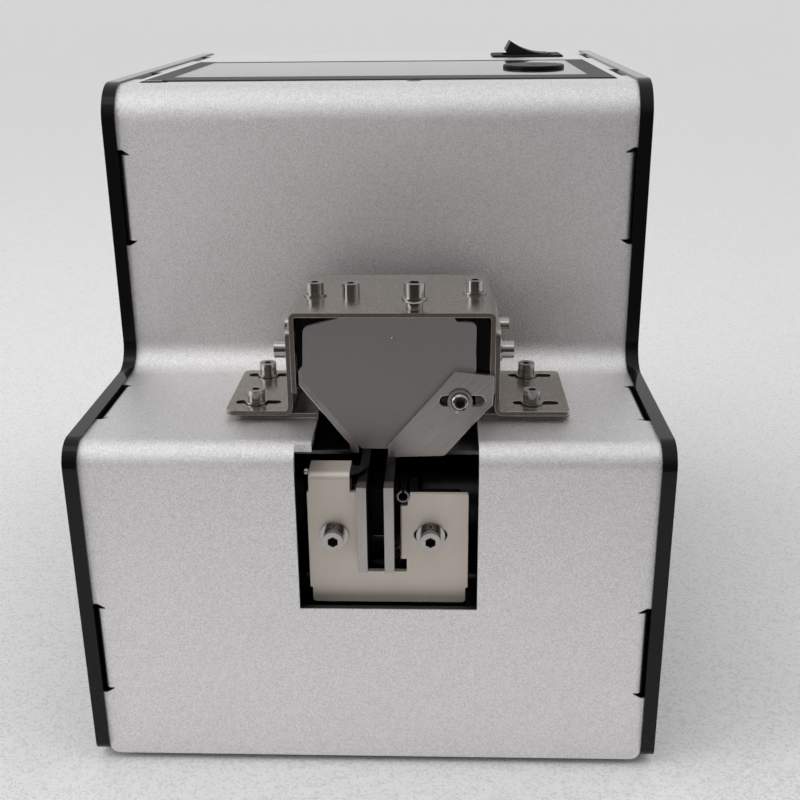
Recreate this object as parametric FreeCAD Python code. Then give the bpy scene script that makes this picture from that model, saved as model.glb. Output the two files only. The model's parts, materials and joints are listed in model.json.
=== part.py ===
import FreeCAD, Part
import math
import os

from FreeCAD import Vector

# ------------------------------------------------------------------ driving dimensions (mm)
# The front faces -Y, the back +Y. The origin is under the middle of the whole machine.

# Housing
BODY_WIDTH = 123.0          # across both side panels
BODY_DEPTH = 176.0          # front face of the cover to its back face
TOP_Z = 140.9               # top face of the cover
LEDGE_Z = 75.4              # ledge above the lower front face
LEDGE_DEPTH = 50.7          # lower front face to upper front face
COVER_Z = 1.6               # lower edge of the cover
PANEL_Z = 2.1               # lower edge of the side panels
PANEL_T = 3.0
PANEL_PROUD = 0.5           # the panels' edges stand this far out of the cover
COVER_T = 1.5
TOP_BEND = 8.0              # outer radius of the two bends along the top
NOSE_BEND = 4.8             # outer radius of the bend at the ledge's front edge
INNER_BEND = 6.5            # radius of the hollow bend behind the ledge
PANEL_CORNER = 2.5          # lower corners of the side panels
COVER_CORNER = 2.2          # lower corners of the cover's front and back

# Tabs that fold in from the cover's side edges and take the panel screws
TAB_LENGTH = 19.6
TAB_DROP = 9.0
TAB_BEND = 2.0
TAB_NOTCH = 1.2             # slanting relief notch at each end of a tab
TAB_ROOT_GAP = 0.2          # its width at the tab's root
FRONT_TAB_Z = 28.5          # centre heights and places of the tabs
UPPER_TAB_Z = 116.0
LEDGE_TAB_Y = 26.3          # from the lower front face
TOP_TAB_Y = (81.5, 147.0)   # from the lower front face
BACK_TAB_Z = 40.0

# Base plate and feet
BASE_T = 2.0
BASE_Z = 3.0                # underside of the base plate
BASE_EDGE_GAP = 0.5         # base plate to the inside of the cover
BASE_FLANGE = 12.0          # upturned side flanges
FOOT_DIA = 12.0
FOOT_INSET_X = 13.0
FOOT_INSET_Y = 16.0

# Window in the lower front face and slot in the ledge
WINDOW_X0 = -14.7
WINDOW_X1 = 22.4
WINDOW_Z0 = 38.8
SLOT_X0 = -11.3             # the slot in the ledge is narrower on its left
SLOT_STEP_Y = 2.9           # the window's left edge steps in here
SLOT_DEPTH = 36.0           # from the lower front face

# Rails
RAIL_X = 1.55               # middle of the rail gap
RAIL_GAP = 3.5
RAIL_T = 2.0
RAIL_TOP = 67.2
RAIL_HEIGHT = 19.2
RAIL_PROUD = 1.0            # the rails stand out of the lower front face

# Lid, opening and hopper bin
LID_SETBACK = 12.0          # upper front face to the lid
LID_DEPTH = 64.3
LID_SIDE = 6.7              # lid to the outside of each side panel
LID_T = 1.5
LID_BORDER = 5.5            # at the lid's sides
LID_BORDER_FRONT = 9.0
LID_BORDER_BACK = 4.0
LID_PANE_T = 0.9
LID_GAP = 0.35              # lid to the cover round it and to its hinge ears
BIN_MARGIN_X = 4.3          # lid edge to the inside of the bin
BIN_MARGIN_FRONT = 16.3
BIN_MARGIN_BACK = 4.0
KNOB_DIA = 15.6
KNOB_H = 0.8
KNOB_INSET = 16.4           # lid's right edge to the knob's middle
LID_LIFT = 0.3              # lid over the bin's rim
HINGE_PIN_DIA = 0.8
HINGE_EAR_T = 1.6
HINGE_EAR_L = 6.0
BIN_T = 1.5
BIN_FLOOR_Z = 42.0          # underside of the bin's trough
BIN_SLOPE_Z = 80.0          # the sloping walls start here
BIN_TROUGH = 19.0           # outer width of the trough's floor
RIM_REACH = 3.0             # bin rim beyond the lid, front and back
RIM_SIDE = 1.5              # bin rim beyond the lid's sides
BIN_TONGUE = 3.0            # thickness of the rim's tongue under the top screw
TOP_SCREW_X = 8.5
TOP_SCREW_SETBACK = 1.5     # behind the bend in front of it
TOP_SCREW_HEAD = 3.6
TOP_SCREW_HEAD_H = 0.8

# Rocker switch
SWITCH_INSET = 21.1         # outside of the right panel to the switch's middle
SWITCH_Y = 150.0            # from the lower front face
SWITCH_LENGTH = 21.0
SWITCH_WIDTH = 15.0
SWITCH_FLANGE_T = 0.65
SWITCH_BODY_H = 18.0
ROCKER_LENGTH = 13.4
ROCKER_WIDTH = 10.6
ROCKER_CREST = 2.8          # height of its raised ends over the pivot
ROCKER_THROW = 34.0         # whole swing of the rocker in degrees
PIVOT_DEPTH = 0.6           # the rocker's pivot under the bezel's top

# DC jack in the back wall
JACK_INSET = 26.5           # outside of the left panel to the jack's middle
JACK_Z = 25.0
JACK_THREAD = 11.0
JACK_BORE = 5.5
JACK_PIN = 2.1
JACK_PROUD = 3.0
JACK_LENGTH = 17.0

# Chassis inside: two upright plates, tied by the front bar
CHASSIS_INSET = (37.5, 32.5)        # panels' outsides to the left and right plates
CHASSIS_T = 2.0
CHASSIS_Y = 8.0             # from the lower front face
CHASSIS_TOP = 64.0
CHASSIS_FOOT = 11.0
CHASSIS_UNDER_BIN = 52.0    # the plates step down to this height under the bin
BAR_Y0 = 7.0                # front bar, from the lower front face
BAR_Y1 = 13.0
BAR_Z0 = 39.0
BAR_Z1 = 43.5

# Front guide plate (slotted plate round the rail tips) and what carries it
GUIDE_T = 1.2
GUIDE_SETBACK = 4.0         # front face of the plate behind the lower front face
GUIDE_X0 = -12.8
GUIDE_X1 = 20.5
GUIDE_Z0 = 38.3
GUIDE_LEFT_TOP = 68.1
GUIDE_RIGHT_TOP = 63.5
GUIDE_SLOT_X0 = -2.5
GUIDE_SLOT_X1 = 7.7
GUIDE_SLOT_Z = 45.6
GUIDE_LIP = 5.5             # lips that fold back from the plate
GUIDE_LIP_X = 6.4           # left face of the lip along the right rail
GUIDE_SCREW_Z = 54.2
GUIDE_SCREW_X = (-7.4, 12.7)
GUIDE_SLOT_SPAN = 7.0       # length of the right screw's slot
GUIDE_BEND = 1.5            # outer radius of its folded top lip
GUIDE_SIDE_BEND = 0.4       # and of the lip along the right rail
GUIDE_WAIST = 0.5           # the plate's foot is this much narrower on each side
GUIDE_WAIST_H = 3.5
GUIDE_SHOULDER_Z = 63.9     # the left arm narrows here
GUIDE_ARM_X1 = -3.9         # right edge of the left arm's tongue
GUIDE_NECK = 0.3            # step beside the slot at the right arm's top
GUIDE_NECK_Z = 61.0
GUIDE_SIDE_LIP_Z = 48.6     # lower end of the lip along the right rail
BLOCK_DEPTH = 7.0
BLOCK_TOP = 61.0
ROLL_PIN_X = 7.05
ROLL_PIN_Z = 63.2
ROLL_PIN_DIA = 2.7
ROLL_PIN_BORE = 1.8
ROLL_PIN_PROUD = 0.5        # in front of the guide plate
LEAF_T = 0.5                # small leaf over the left rail
LEAF_GAP = 0.3
LEAF_REACH = 3.2            # behind the guide plate

# Vibrator under the rails
CARRIER_WIDTH = 17.0
CARRIER_Y0 = 18.0           # from the lower front face
CARRIER_Y1 = 66.0
CARRIER_H = 9.0
CARRIER_WEB = 10.0          # web that stands between the rails
RAIL_SCREW_Y = (26.0, 58.0)
RAIL_SCREW_RISE = 4.6       # above the rails' lower edge
SPRING_T = 0.5
SPRING_SCREW = 2.5
VIBRATION = 0.35            # half stroke of the rails
VIBRO_BASE_H = 9.0
VIBRO_PAD_H = 3.0
VIBRO_PAD_DIA = 10.0
MAGNET_Y0 = 30.0
MAGNET_LENGTH = 15.0
MAGNET_GAP = 1.0            # pole faces to the armature
ARMATURE_T = 3.0
COIL_DIA = 18.0
CORE_SIZE = 9.0

# Scoop: a slotted blade pair that swings in the bin and lines up with the rails
SCOOP_GAP = 1.6             # behind the rails
SCOOP_PIVOT_Y = 72.0        # from the lower front face
SCOOP_PIVOT_DROP = 11.2     # pivot below the rails' top
SCOOP_REACH = 47.0          # pivot to the blades' rear end
SCOOP_DEPTH_FRONT = 14.5
SCOOP_DEPTH_BACK = 10.0
SHAFT_DIA = 4.0
BUSH_DIA = 7.0
BUSH_FLANGE = 9.0
RUNNING_FIT = 0.05          # radial play of a turning shaft

# Drive: gear motor, crank disc, rod and lever
MOTOR_Y = 96.0              # from the lower front face
MOTOR_Z = 22.0
MOTOR_DIA = 25.0
MOTOR_CLEAR = 2.0           # motor can to the left chassis plate
GEARBOX_LENGTH = 17.0
CRANK_RADIUS = 3.75
CRANK_REST = 26.0           # crank pin above the horizontal at rest, degrees
CRANK_DIA = 16.0
CRANK_T = 4.0
CRANK_PIN_DIA = 3.0
CRANK_CLEAR = 2.5           # chassis plate to the crank disc
ROD_T = 3.0
ROD_WIDTH = 7.0
LEVER_T = 2.5
LEVER_CLEAR = 1.8           # rod to lever, with the rod's clip between them

# Brush over the scoop
BRUSH_SHAFT_Z = 102.0
BRUSH_SHAFT_DIA = 3.0
BRUSH_Y0 = 81.0             # from the lower front face
BRUSH_THICK = 6.0
BRUSH_WIDTH = 14.0
BRUSH_CLEAR = 2.4           # bristle tips above the rails' top
BRISTLE_LENGTH = 13.0
BRUSH_RATIO = 1.33          # brush swing for each degree of the scoop
LINK_ARM = 12.0             # scoop shaft to the brush link
LINK_DIA = 2.0

# Bracket on the ledge
BRACKET_X = 4.8             # middle of the bracket
SHEET_T = 1.0               # bracket and guide sheets
UNDER_Y0 = 16.6             # plate under the feet, from the lower front face
UNDER_Y1 = 44.0
UNDER_X0 = -29.0
UNDER_X1 = 42.0
UNDER_CORNER = 1.5
BRACKET_SPAN = 44.4         # across the outer faces of the two angle brackets
ANGLE_Y0 = 15.0
ANGLE_Y1 = 41.5
ANGLE_TOP = 95.0
ANGLE_FOOT = (13.4, 14.8)   # length of the left and right foot along x
ANGLE_BEND = 1.8
ANGLE_SLOT_X = (7.1, 8.0)   # middle of their slots from the angle's outer face
FOOT_SLOT_LENGTH = 9.8
BRACKET_SCREW_Y = (20.5, 38.3)
FOOT_SCREW_SHIFT = (-0.4, -0.8)   # left and right foot screws off the middle of their slots
BRIDGE_Y0 = 13.6
BRIDGE_Y1 = 45.5
BRIDGE_TOP = 99.3
BRIDGE_SIDE_Z = 82.0        # lower end of the bridge's side walls
BRIDGE_BEND = 1.3
BRIDGE_SCREW_Z = 89.5
BRIDGE_UP = 3.0             # height adjustment
BRIDGE_DOWN = 0.3
BRACKET_PLAY = 0.1          # between sheets that slide on each other
HANGER_X0 = -13.7           # block under the bridge
HANGER_X1 = 23.7
HANGER_Y1 = 32.0
HANGER_Z0 = 90.0
HANGER_LEGS = ((-15.2, -13.5, 1.1), (22.0, 24.8, 0.0))  # x range and setback of its legs
HANGER_LEG_Y1 = 18.5        # in front of the side bolts
HANGER_LEG_Z0 = 82.5
HANGER_LEG_Z1 = 97.3
SHIELD_T = 1.2              # the dark many-sided shield plate
SHIELD_SIDE_GAP = 1.35      # left edge of the shield to the bridge wall
SHIELD_X1 = 22.0
SHIELD_BOTTOM = 69.6
SHIELD_TIP_X = (-1.9, 3.6)  # its narrow lower end
SHIELD_ARM_Z = 84.5         # the sloping lower edges end here
SHIELD_DROP = 3.1           # its upper corners below the bridge's top
WING_BOTTOM = 68.0
WING_TOP = 87.2
WING_SCREW_X = 18.7
WING_SCREW_Z = 80.8
WING_SLOT_LENGTH = 9.3
WING_SLOT_X = 19.15

# Sensors beside the rails
SENSOR_Y = 28.0
SENSOR_GAP = 2.4            # lens face to the rail
SENSOR_SIZE = 7.0
SENSOR_TOP = 73.0

# Control board
BOARD_GAP = 3.5             # left panel to the board
BOARD_WIDTH = 17.0
BOARD_Y0 = 58.0             # from the lower front face
BOARD_Y1 = 134.0
BOARD_T = 1.6
STANDOFF_H = 6.0
STANDOFF_DIA = 5.5

# Fasteners
M2_DIA = 2.0
M2_HEAD = 3.8
M2_HEAD_H = 2.0
M2_HEX = 1.5
M2_WASHER = 5.0
M2_WASHER_T = 0.4
GUIDE_SCREW_DIA = 2.5
GUIDE_SCREW_HEAD = 4.4
GUIDE_SCREW_HEAD_H = 2.5
GUIDE_SCREW_HEX = 2.0
GUIDE_WASHER = 6.0
GUIDE_WASHER_T = 0.5
SPRING_WASHER_T = 0.5
SPRING_WASHER_SLIT = 0.4
BUTTON_HEAD = 3.8
BUTTON_HEAD_H = 1.1
BUTTON_WASHER = 5.2
COLLAR_DIA = 3.6            # collar and flange under the screw on the bridge
COLLAR_H = 1.7
COLLAR_HEAD_H = 2.9         # head of the screw on the collar
PLAIN_HEAD_H = 2.4          # head of the screw beside it
FLANGE_DIA = 5.3
FLANGE_T = 0.9
M3_DIA = 3.0
M3_HEAD = 5.5
M3_HEAD_H = 1.65
M3_PAN_H = 2.0
SCREW_PLAY = 0.1            # radial play of a screw in its hole
SEAT_PLAY = 0.05            # countersunk head to its seat

# ------------------------------------------------------------------ stations that follow
FRONT = RAIL_PROUD - (RAIL_PROUD + BODY_DEPTH + JACK_PROUD) / 2
BACK = FRONT + BODY_DEPTH
UPPER = FRONT + LEDGE_DEPTH
PANEL_IN = BODY_WIDTH / 2 - PANEL_T          # inner face of the side panels
BASE_TOP = BASE_Z + BASE_T
RIM_Z = TOP_Z - COVER_T                      # top of the bin's rim, under the cover
LID_X = BODY_WIDTH / 2 - LID_SIDE
LID_Y0 = UPPER + LID_SETBACK
LID_Y1 = LID_Y0 + LID_DEPTH
OPEN_X = LID_X - BIN_MARGIN_X
BIN_Y0 = LID_Y0 + BIN_MARGIN_FRONT
BIN_Y1 = LID_Y1 - BIN_MARGIN_BACK
CHASSIS_LEFT = CHASSIS_INSET[0] - BODY_WIDTH / 2
CHASSIS_RIGHT = BODY_WIDTH / 2 - CHASSIS_INSET[1]
MOTOR_LENGTH = CHASSIS_RIGHT - CHASSIS_LEFT - 2 * CHASSIS_T - GEARBOX_LENGTH - MOTOR_CLEAR
SWITCH_X = BODY_WIDTH / 2 - SWITCH_INSET
JACK_X = JACK_INSET - BODY_WIDTH / 2
BOARD_X0 = BOARD_GAP - PANEL_IN
BOARD_X1 = BOARD_X0 + BOARD_WIDTH
RAIL_BOTTOM = RAIL_TOP - RAIL_HEIGHT
RAIL_TIP = FRONT - RAIL_PROUD
SPRING_GAP = 2 * VIBRATION                   # flexing room beside a spring at its lower clamp
M2_HOLE = M2_DIA + 2 * SCREW_PLAY
M3_HOLE = M3_DIA + 2 * SCREW_PLAY
UP = Vector(0, 0, 1)
DOWN = Vector(0, 0, -1)
RIGHT = Vector(1, 0, 0)
LEFT = Vector(-1, 0, 0)
AHEAD = Vector(0, -1, 0)
BACKWARD = Vector(0, 1, 0)
HEX_CORNERS = 6


# ------------------------------------------------------------------ helpers
def box(x0, x1, y0, y1, z0, z1):
    return Part.makeBox(x1 - x0, y1 - y0, z1 - z0, Vector(x0, y0, z0))


def rod(dia, start, axis, length):
    return Part.makeCylinder(dia / 2, length, start, axis)


def rounded_loop(points, radii):
    """Closed wire through points, with an arc of the given radius at each corner."""
    count = len(points)
    starts, ends, mids = [], [], []
    for i, (corner, radius) in enumerate(zip(points, radii)):
        back = (points[i - 1] - corner).normalize()
        ahead = (points[(i + 1) % count] - corner).normalize()
        if radius <= 0:
            starts.append(corner)
            ends.append(corner)
            mids.append(None)
            continue
        half = back.getAngle(ahead) / 2
        reach = radius / math.tan(half)
        centre = corner + (back + ahead).normalize() * (radius / math.sin(half))
        starts.append(corner + back * reach)
        ends.append(corner + ahead * reach)
        mids.append(centre + (corner - centre).normalize() * radius)
    edges = []
    for i in range(count):
        if mids[i] is not None:
            edges.append(Part.Arc(starts[i], mids[i], ends[i]).toShape())
        after = (i + 1) % count
        if (starts[after] - ends[i]).Length > 1e-6:
            edges.append(Part.makeLine(ends[i], starts[after]))
    return Part.Wire(edges)


def prism(points, radii, thickness):
    """Solid from a closed outline, pushed along the vector thickness."""
    return Part.Face(rounded_loop(points, radii)).extrude(thickness)


def side_shape(pairs, x0, x1, radii=None):
    """Outline of (y, z) pairs pushed from x0 to x1."""
    points = [Vector(x0, y, z) for y, z in pairs]
    return prism(points, radii or [0] * len(points), Vector(x1 - x0, 0, 0))


def front_shape(pairs, y0, y1, radii=None):
    """Outline of (x, z) pairs pushed from y0 to y1."""
    points = [Vector(x, y0, z) for x, z in pairs]
    return prism(points, radii or [0] * len(points), Vector(0, y1 - y0, 0))


def plan_shape(pairs, z0, z1, radii=None):
    """Outline of (x, y) pairs pushed from z0 to z1."""
    points = [Vector(x, y, z0) for x, y in pairs]
    return prism(points, radii or [0] * len(points), Vector(0, 0, z1 - z0))


def slot_hole(centre, axis, along, dia, length, depth):
    """Round-ended slot: its middle, the direction it is cut in and the one it runs in."""
    reach = along * (length - dia) / 2
    turned = axis.cross(along) * (dia / 2)
    block = Part.Face(Part.makePolygon([
        centre - reach - turned, centre + reach - turned,
        centre + reach + turned, centre - reach + turned, centre - reach - turned,
    ])).extrude(axis * depth)
    ends = [rod(dia, centre + side * reach, axis, depth) for side in (-1, 1)]
    return block.fuse(ends).removeSplitter()


def sides_of(axis):
    """Two directions square to an axis and to each other."""
    side = UP if abs(axis.z) < 0.5 else RIGHT
    return side, axis.cross(side)


def hex_prism(start, axis, across, length):
    """Six-sided prism, measured across its flats."""
    corner = across / math.sqrt(3)
    side, other = sides_of(axis)
    ring = []
    for k in range(HEX_CORNERS + 1):
        angle = 2 * math.pi * k / HEX_CORNERS
        ring.append(start + side * (corner * math.cos(angle)) + other * (corner * math.sin(angle)))
    return Part.Face(Part.makePolygon(ring)).extrude(axis * length)


def socket_screw(seat, axis, reach, dia=M2_DIA, head=M2_HEAD, head_h=M2_HEAD_H, key=M2_HEX):
    """Cap screw: seat is under its head, axis points from the tip to the head."""
    shank = rod(dia, seat - axis * reach, axis, reach + head_h / 2)
    cap = rod(head, seat, axis, head_h)
    key_hole = hex_prism(seat + axis * (head_h * 0.4), axis, key, head_h)
    return cap.fuse(shank).cut(key_hole)


def button_screw(seat, axis, reach):
    """Low round-headed screw with a hexagon hole."""
    shank = rod(M2_DIA, seat - axis * reach, axis, reach + BUTTON_HEAD_H / 2)
    cap = rod(BUTTON_HEAD, seat, axis, BUTTON_HEAD_H)
    middle = BUTTON_HEAD_H / 2
    rim = [edge for edge in cap.Edges if edge.Closed and (edge.CenterOfMass - seat).dot(axis) > middle]
    cap = cap.makeFillet(BUTTON_HEAD_H * 0.7, rim[:1])
    key_hole = hex_prism(seat + axis * (BUTTON_HEAD_H * 0.3), axis, M2_HEX, BUTTON_HEAD_H)
    return cap.fuse(shank).cut(key_hole)


def washer(seat, axis, outer=M2_WASHER, bore=M2_HOLE, thick=M2_WASHER_T):
    return rod(outer, seat, axis, thick).cut(rod(bore, seat, axis, thick))


def spring_washer(seat, axis, outer=M2_HEAD, bore=M2_HOLE):
    """Ring with the slit of a spring washer."""
    ring = washer(seat, axis, outer, bore, SPRING_WASHER_T)
    side, other = sides_of(axis)
    half = other * (SPRING_WASHER_SLIT / 2)
    slit = Part.Face(Part.makePolygon([
        seat - half, seat + side * outer - half, seat + side * outer + half, seat + half, seat - half,
    ]))
    return ring.cut(slit.extrude(axis * SPRING_WASHER_T))


def pan_screw(seat, axis, reach, dia=M3_DIA, head=M3_HEAD, head_h=M3_PAN_H):
    """Round-headed cross screw seated on a flat face."""
    shank = rod(dia, seat - axis * reach, axis, reach + head_h / 2)
    cap = rod(head, seat, axis, head_h)
    middle = head_h / 2
    rim = [edge for edge in cap.Edges if edge.Closed and (edge.CenterOfMass - seat).dot(axis) > middle]
    cap = cap.makeFillet(head_h * 0.45, rim[:1])
    return cap.fuse(shank).cut(cross_recess(seat + axis * head_h, axis, head * 0.5, head_h * 0.55))


def cross_recess(top, axis, span, depth):
    side, other = sides_of(axis)
    arms = []
    for a, b in ((side, other), (other, side)):
        corner = a * (span / 2)
        flank = b * (span / 8)
        start = top - axis * depth
        arms.append(Part.Face(Part.makePolygon([
            start - corner - flank, start + corner - flank, start + corner + flank,
            start - corner + flank, start - corner - flank,
        ])).extrude(axis * (depth * 1.5)))
    return arms[0].fuse(arms[1])


def flush_screw(top, axis, reach, dia=M3_DIA, head=M3_HEAD, head_h=M3_HEAD_H):
    """Countersunk screw: top is the middle of its flat head, axis points out of the head."""
    cone = Part.makeCone(dia / 2, head / 2, head_h, top - axis * head_h, axis)
    shank = rod(dia, top - axis * reach, axis, reach - head_h)
    return cone.fuse(shank).cut(cross_recess(top, axis, head * 0.55, head_h * 0.6))


def flush_seat(top, axis, depth, dia=M3_DIA, head=M3_HEAD, head_h=M3_HEAD_H):
    """Hole and countersink for a flush_screw through a sheet of the given depth."""
    bore = rod(dia + 2 * SCREW_PLAY, top - axis * depth, axis, depth)
    cone = Part.makeCone(dia / 2 + SEAT_PLAY, head / 2 + SEAT_PLAY, head_h, top - axis * head_h, axis)
    return bore.fuse(cone)


def mirrored(shape, x=0.0):
    return shape.mirror(Vector(x, 0, 0), Vector(1, 0, 0))


def group(*solids):
    return Part.makeCompound([piece for solid in solids for piece in solid.Solids])


os.makedirs("parts", exist_ok=True)
NODES = {}


def keep(name, shape):
    """Export one node, as a single solid or a compound of separate solids."""
    solids = shape.Solids
    NODES[name] = shape
    (solids[0] if len(solids) == 1 else Part.makeCompound(solids)).exportStep("parts/" + name + ".step")
    print("%-24s %2d solid(s) %9.1f mm3 valid=%s" % (name, len(solids), shape.Volume, shape.isValid()))


# ------------------------------------------------------------------ housing
def cover_outline(grow):
    """(y, z) corners and bend radii of the housing's side view, grown outwards by grow."""
    pairs = [
        (FRONT - grow, COVER_Z), (FRONT - grow, LEDGE_Z + grow), (UPPER - grow, LEDGE_Z + grow),
        (UPPER - grow, TOP_Z + grow), (BACK + grow, TOP_Z + grow), (BACK + grow, COVER_Z),
    ]
    radii = [0, NOSE_BEND + grow, INNER_BEND - grow, TOP_BEND + grow, TOP_BEND + grow, 0]
    return pairs, radii


def tab_places():
    """Each tab: middle on the cover's outer face (y, z) and the turn that lays it there."""
    places = [(FRONT, FRONT_TAB_Z, 90), (FRONT + LEDGE_TAB_Y, LEDGE_Z, 0), (UPPER, UPPER_TAB_Z, 90)]
    places += [(FRONT + y, TOP_Z, 0) for y in TOP_TAB_Y]
    return places + [(BACK, BACK_TAB_Z, -90)]


def tab_pieces():
    """Cutter and folded tab for one edge, drawn on a top face at y = 0, z = 0."""
    reach = TAB_BEND + 0.5
    half = TAB_LENGTH / 2 + TAB_NOTCH
    root = TAB_LENGTH / 2 + TAB_ROOT_GAP
    cutter = plan_shape([
        (PANEL_IN - reach, -root), (PANEL_IN - 0.8, -half), (PANEL_IN + 1, -half),
        (PANEL_IN + 1, half), (PANEL_IN - 0.8, half), (PANEL_IN - reach, root),
    ], -COVER_T - 1, 1)
    x_out = PANEL_IN
    pairs = [
        (x_out - reach - 0.01, 0), (x_out, 0), (x_out, -TAB_DROP), (x_out - COVER_T, -TAB_DROP),
        (x_out - COVER_T, -COVER_T), (x_out - reach - 0.01, -COVER_T),
    ]
    fold = front_shape(pairs, -TAB_LENGTH / 2, TAB_LENGTH / 2, [0, TAB_BEND, 0, 0, TAB_BEND - COVER_T, 0])
    return cutter, fold


def tab_screw_points():
    """Where the panel screws pass: (y, z) of each tab's middle, half way down its drop."""
    depth = TAB_DROP * 0.62
    points = []
    for y, z, turn in tab_places():
        angle = math.radians(turn)
        points.append((y + depth * math.sin(angle), z - depth * math.cos(angle)))
    return points


def base_screw_points():
    height = BASE_TOP + BASE_FLANGE * 0.55
    return [(FRONT + 34, height), (BACK - 34, height)]


def make_cover():
    outer, outer_r = cover_outline(0)
    inner, inner_r = cover_outline(-COVER_T)
    shell = side_shape(outer + inner[::-1], -PANEL_IN, PANEL_IN, outer_r + inner_r[::-1])
    bottom = [edge for edge in shell.Edges if abs(edge.BoundBox.ZMax - COVER_Z) < 1e-6]
    corners = [edge for edge in bottom if abs(abs(edge.CenterOfMass.x) - PANEL_IN) < 1e-6]
    shell = shell.makeFillet(COVER_CORNER, corners)
    cutter, fold = tab_pieces()
    for y, z, turn in tab_places():
        for flip in (False, True):
            for tool, joins in ((cutter, False), (fold, True)):
                piece = mirrored(tool) if flip else tool.copy()
                piece.rotate(Vector(0, 0, 0), Vector(1, 0, 0), turn)
                piece.translate(Vector(0, y, z))
                shell = shell.fuse(piece) if joins else shell.cut(piece)
    for y, z in tab_screw_points():
        shell = shell.cut(rod(M3_HOLE, Vector(-BODY_WIDTH, y, z), RIGHT, BODY_WIDTH * 2))
    window = box(WINDOW_X0, WINDOW_X1, FRONT - 1, FRONT + COVER_T + 1, WINDOW_Z0, LEDGE_Z - COVER_T)
    step = box(WINDOW_X0, WINDOW_X1, FRONT - 1, FRONT + SLOT_STEP_Y, LEDGE_Z - NOSE_BEND - 3, LEDGE_Z + 1)
    slot = box(SLOT_X0, WINDOW_X1, FRONT - 1, FRONT + SLOT_DEPTH, LEDGE_Z - COVER_T - 1, LEDGE_Z + 1)
    under, over = RIM_Z - 1, TOP_Z + 1
    x0, x1 = -LID_X - LID_GAP, LID_X + LID_GAP
    opening = box(x0, x1, LID_Y0 - LID_GAP, LID_Y1 + LID_GAP, under, over)
    ear_x1 = HINGE_EAR_L + LID_GAP - LID_X
    for y0, y1 in hinge_ear_ranges():
        opening = opening.fuse(box(x0, ear_x1, y0 - LID_GAP, y1 + LID_GAP, under, over))
    body_half_x = SWITCH_LENGTH / 2 - 1.0
    body_half_y = SWITCH_WIDTH / 2 - 1.0
    switch_y = FRONT + SWITCH_Y
    switch = box(SWITCH_X - body_half_x - 0.1, SWITCH_X + body_half_x + 0.1,
                 switch_y - body_half_y - 0.1, switch_y + body_half_y + 0.1, TOP_Z - COVER_T - 1, TOP_Z + 1)
    jack = rod(JACK_THREAD + 0.4, Vector(JACK_X, BACK - COVER_T - 1, JACK_Z), Vector(0, 1, 0), COVER_T + 2)
    for hole in (window, step, slot, opening, switch, jack):
        shell = shell.cut(hole)
    for point in foot_screw_points():
        at = Vector(point.x, point.y, LEDGE_Z - COVER_T)
        shell = shell.cut(rod(M2_HOLE, at, UP, COVER_T))
    return shell.cut(flush_seat(TOP_SCREW_AT, UP, COVER_T, M2_DIA, TOP_SCREW_HEAD, TOP_SCREW_HEAD_H))


def make_side_panel(flip):
    outer, radii = cover_outline(PANEL_PROUD)
    outer = [(y, PANEL_Z if z == COVER_Z else z) for y, z in outer]
    radii = [PANEL_CORNER] + radii[1:-1] + [PANEL_CORNER]
    panel = side_shape(outer, PANEL_IN, BODY_WIDTH / 2, radii)
    for y, z in tab_screw_points() + base_screw_points():
        panel = panel.cut(flush_seat(Vector(BODY_WIDTH / 2, y, z), RIGHT, PANEL_T))
    return mirrored(panel) if flip else panel


def make_cover_screws():
    """Flush screws through the side panels, and the one in the top."""
    reach = COVER_T + BIN_TONGUE
    screws = [flush_screw(TOP_SCREW_AT, UP, reach, M2_DIA, TOP_SCREW_HEAD, TOP_SCREW_HEAD_H)]
    for y, z in tab_screw_points() + base_screw_points():
        screw = flush_screw(Vector(BODY_WIDTH / 2, y, z), RIGHT, PANEL_T + COVER_T + 1.5)
        screws += [screw, mirrored(screw)]
    return group(*screws)


# ------------------------------------------------------------------ base, feet and chassis
BASE_X = PANEL_IN
BASE_Y0 = FRONT + COVER_T + BASE_EDGE_GAP
BASE_Y1 = BACK - COVER_T - BASE_EDGE_GAP
FOOT_PLACES = [(sx * (BODY_WIDTH / 2 - FOOT_INSET_X), y)
               for sx in (-1, 1) for y in (FRONT + FOOT_INSET_Y, BACK - FOOT_INSET_Y)]
CHASSIS_Y0 = FRONT + CHASSIS_Y
CHASSIS_Y1 = LID_Y1 + 2
SCOOP_Y = FRONT + SCOOP_PIVOT_Y
TOP_SCREW_AT = Vector(TOP_SCREW_X, UPPER + TOP_BEND + TOP_SCREW_SETBACK, TOP_Z)
SCOOP_Z = RAIL_TOP - SCOOP_PIVOT_DROP
MOTOR_AT = Vector(CHASSIS_RIGHT, FRONT + MOTOR_Y, MOTOR_Z)
FOOT_SCREW_SINK = 1.2


def chassis_foot_screws():
    """Middle of each screw through a chassis foot, on top of the foot."""
    reach = CHASSIS_T + (CHASSIS_FOOT - CHASSIS_T) / 2
    places = []
    for x in (CHASSIS_LEFT - reach + CHASSIS_T, CHASSIS_RIGHT + reach - CHASSIS_T):
        places += [Vector(x, y, BASE_TOP + CHASSIS_T) for y in (CHASSIS_Y0 + 12, CHASSIS_Y1 - 12)]
    return places


def make_base():
    plate = box(-BASE_X, BASE_X, BASE_Y0, BASE_Y1, BASE_Z, BASE_TOP)
    for y, z in base_screw_points():
        for x0, x1 in ((-BASE_X, -BASE_X + BASE_T), (BASE_X - BASE_T, BASE_X)):
            ear = box(x0, x1, y - 12, y + 12, BASE_Z, BASE_TOP + BASE_FLANGE)
            plate = plate.fuse(ear).cut(rod(M3_HOLE, Vector(x0 - 1, y, z), RIGHT, BASE_T + 2))
    for x, y in FOOT_PLACES:
        plate = plate.cut(rod(M3_HOLE, Vector(x, y, BASE_Z), UP, BASE_T))
    for point in chassis_foot_screws() + vibro_pad_points():
        plate = plate.cut(rod(M3_HOLE, Vector(point.x, point.y, BASE_Z), UP, BASE_T))
    return plate.removeSplitter()


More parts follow.
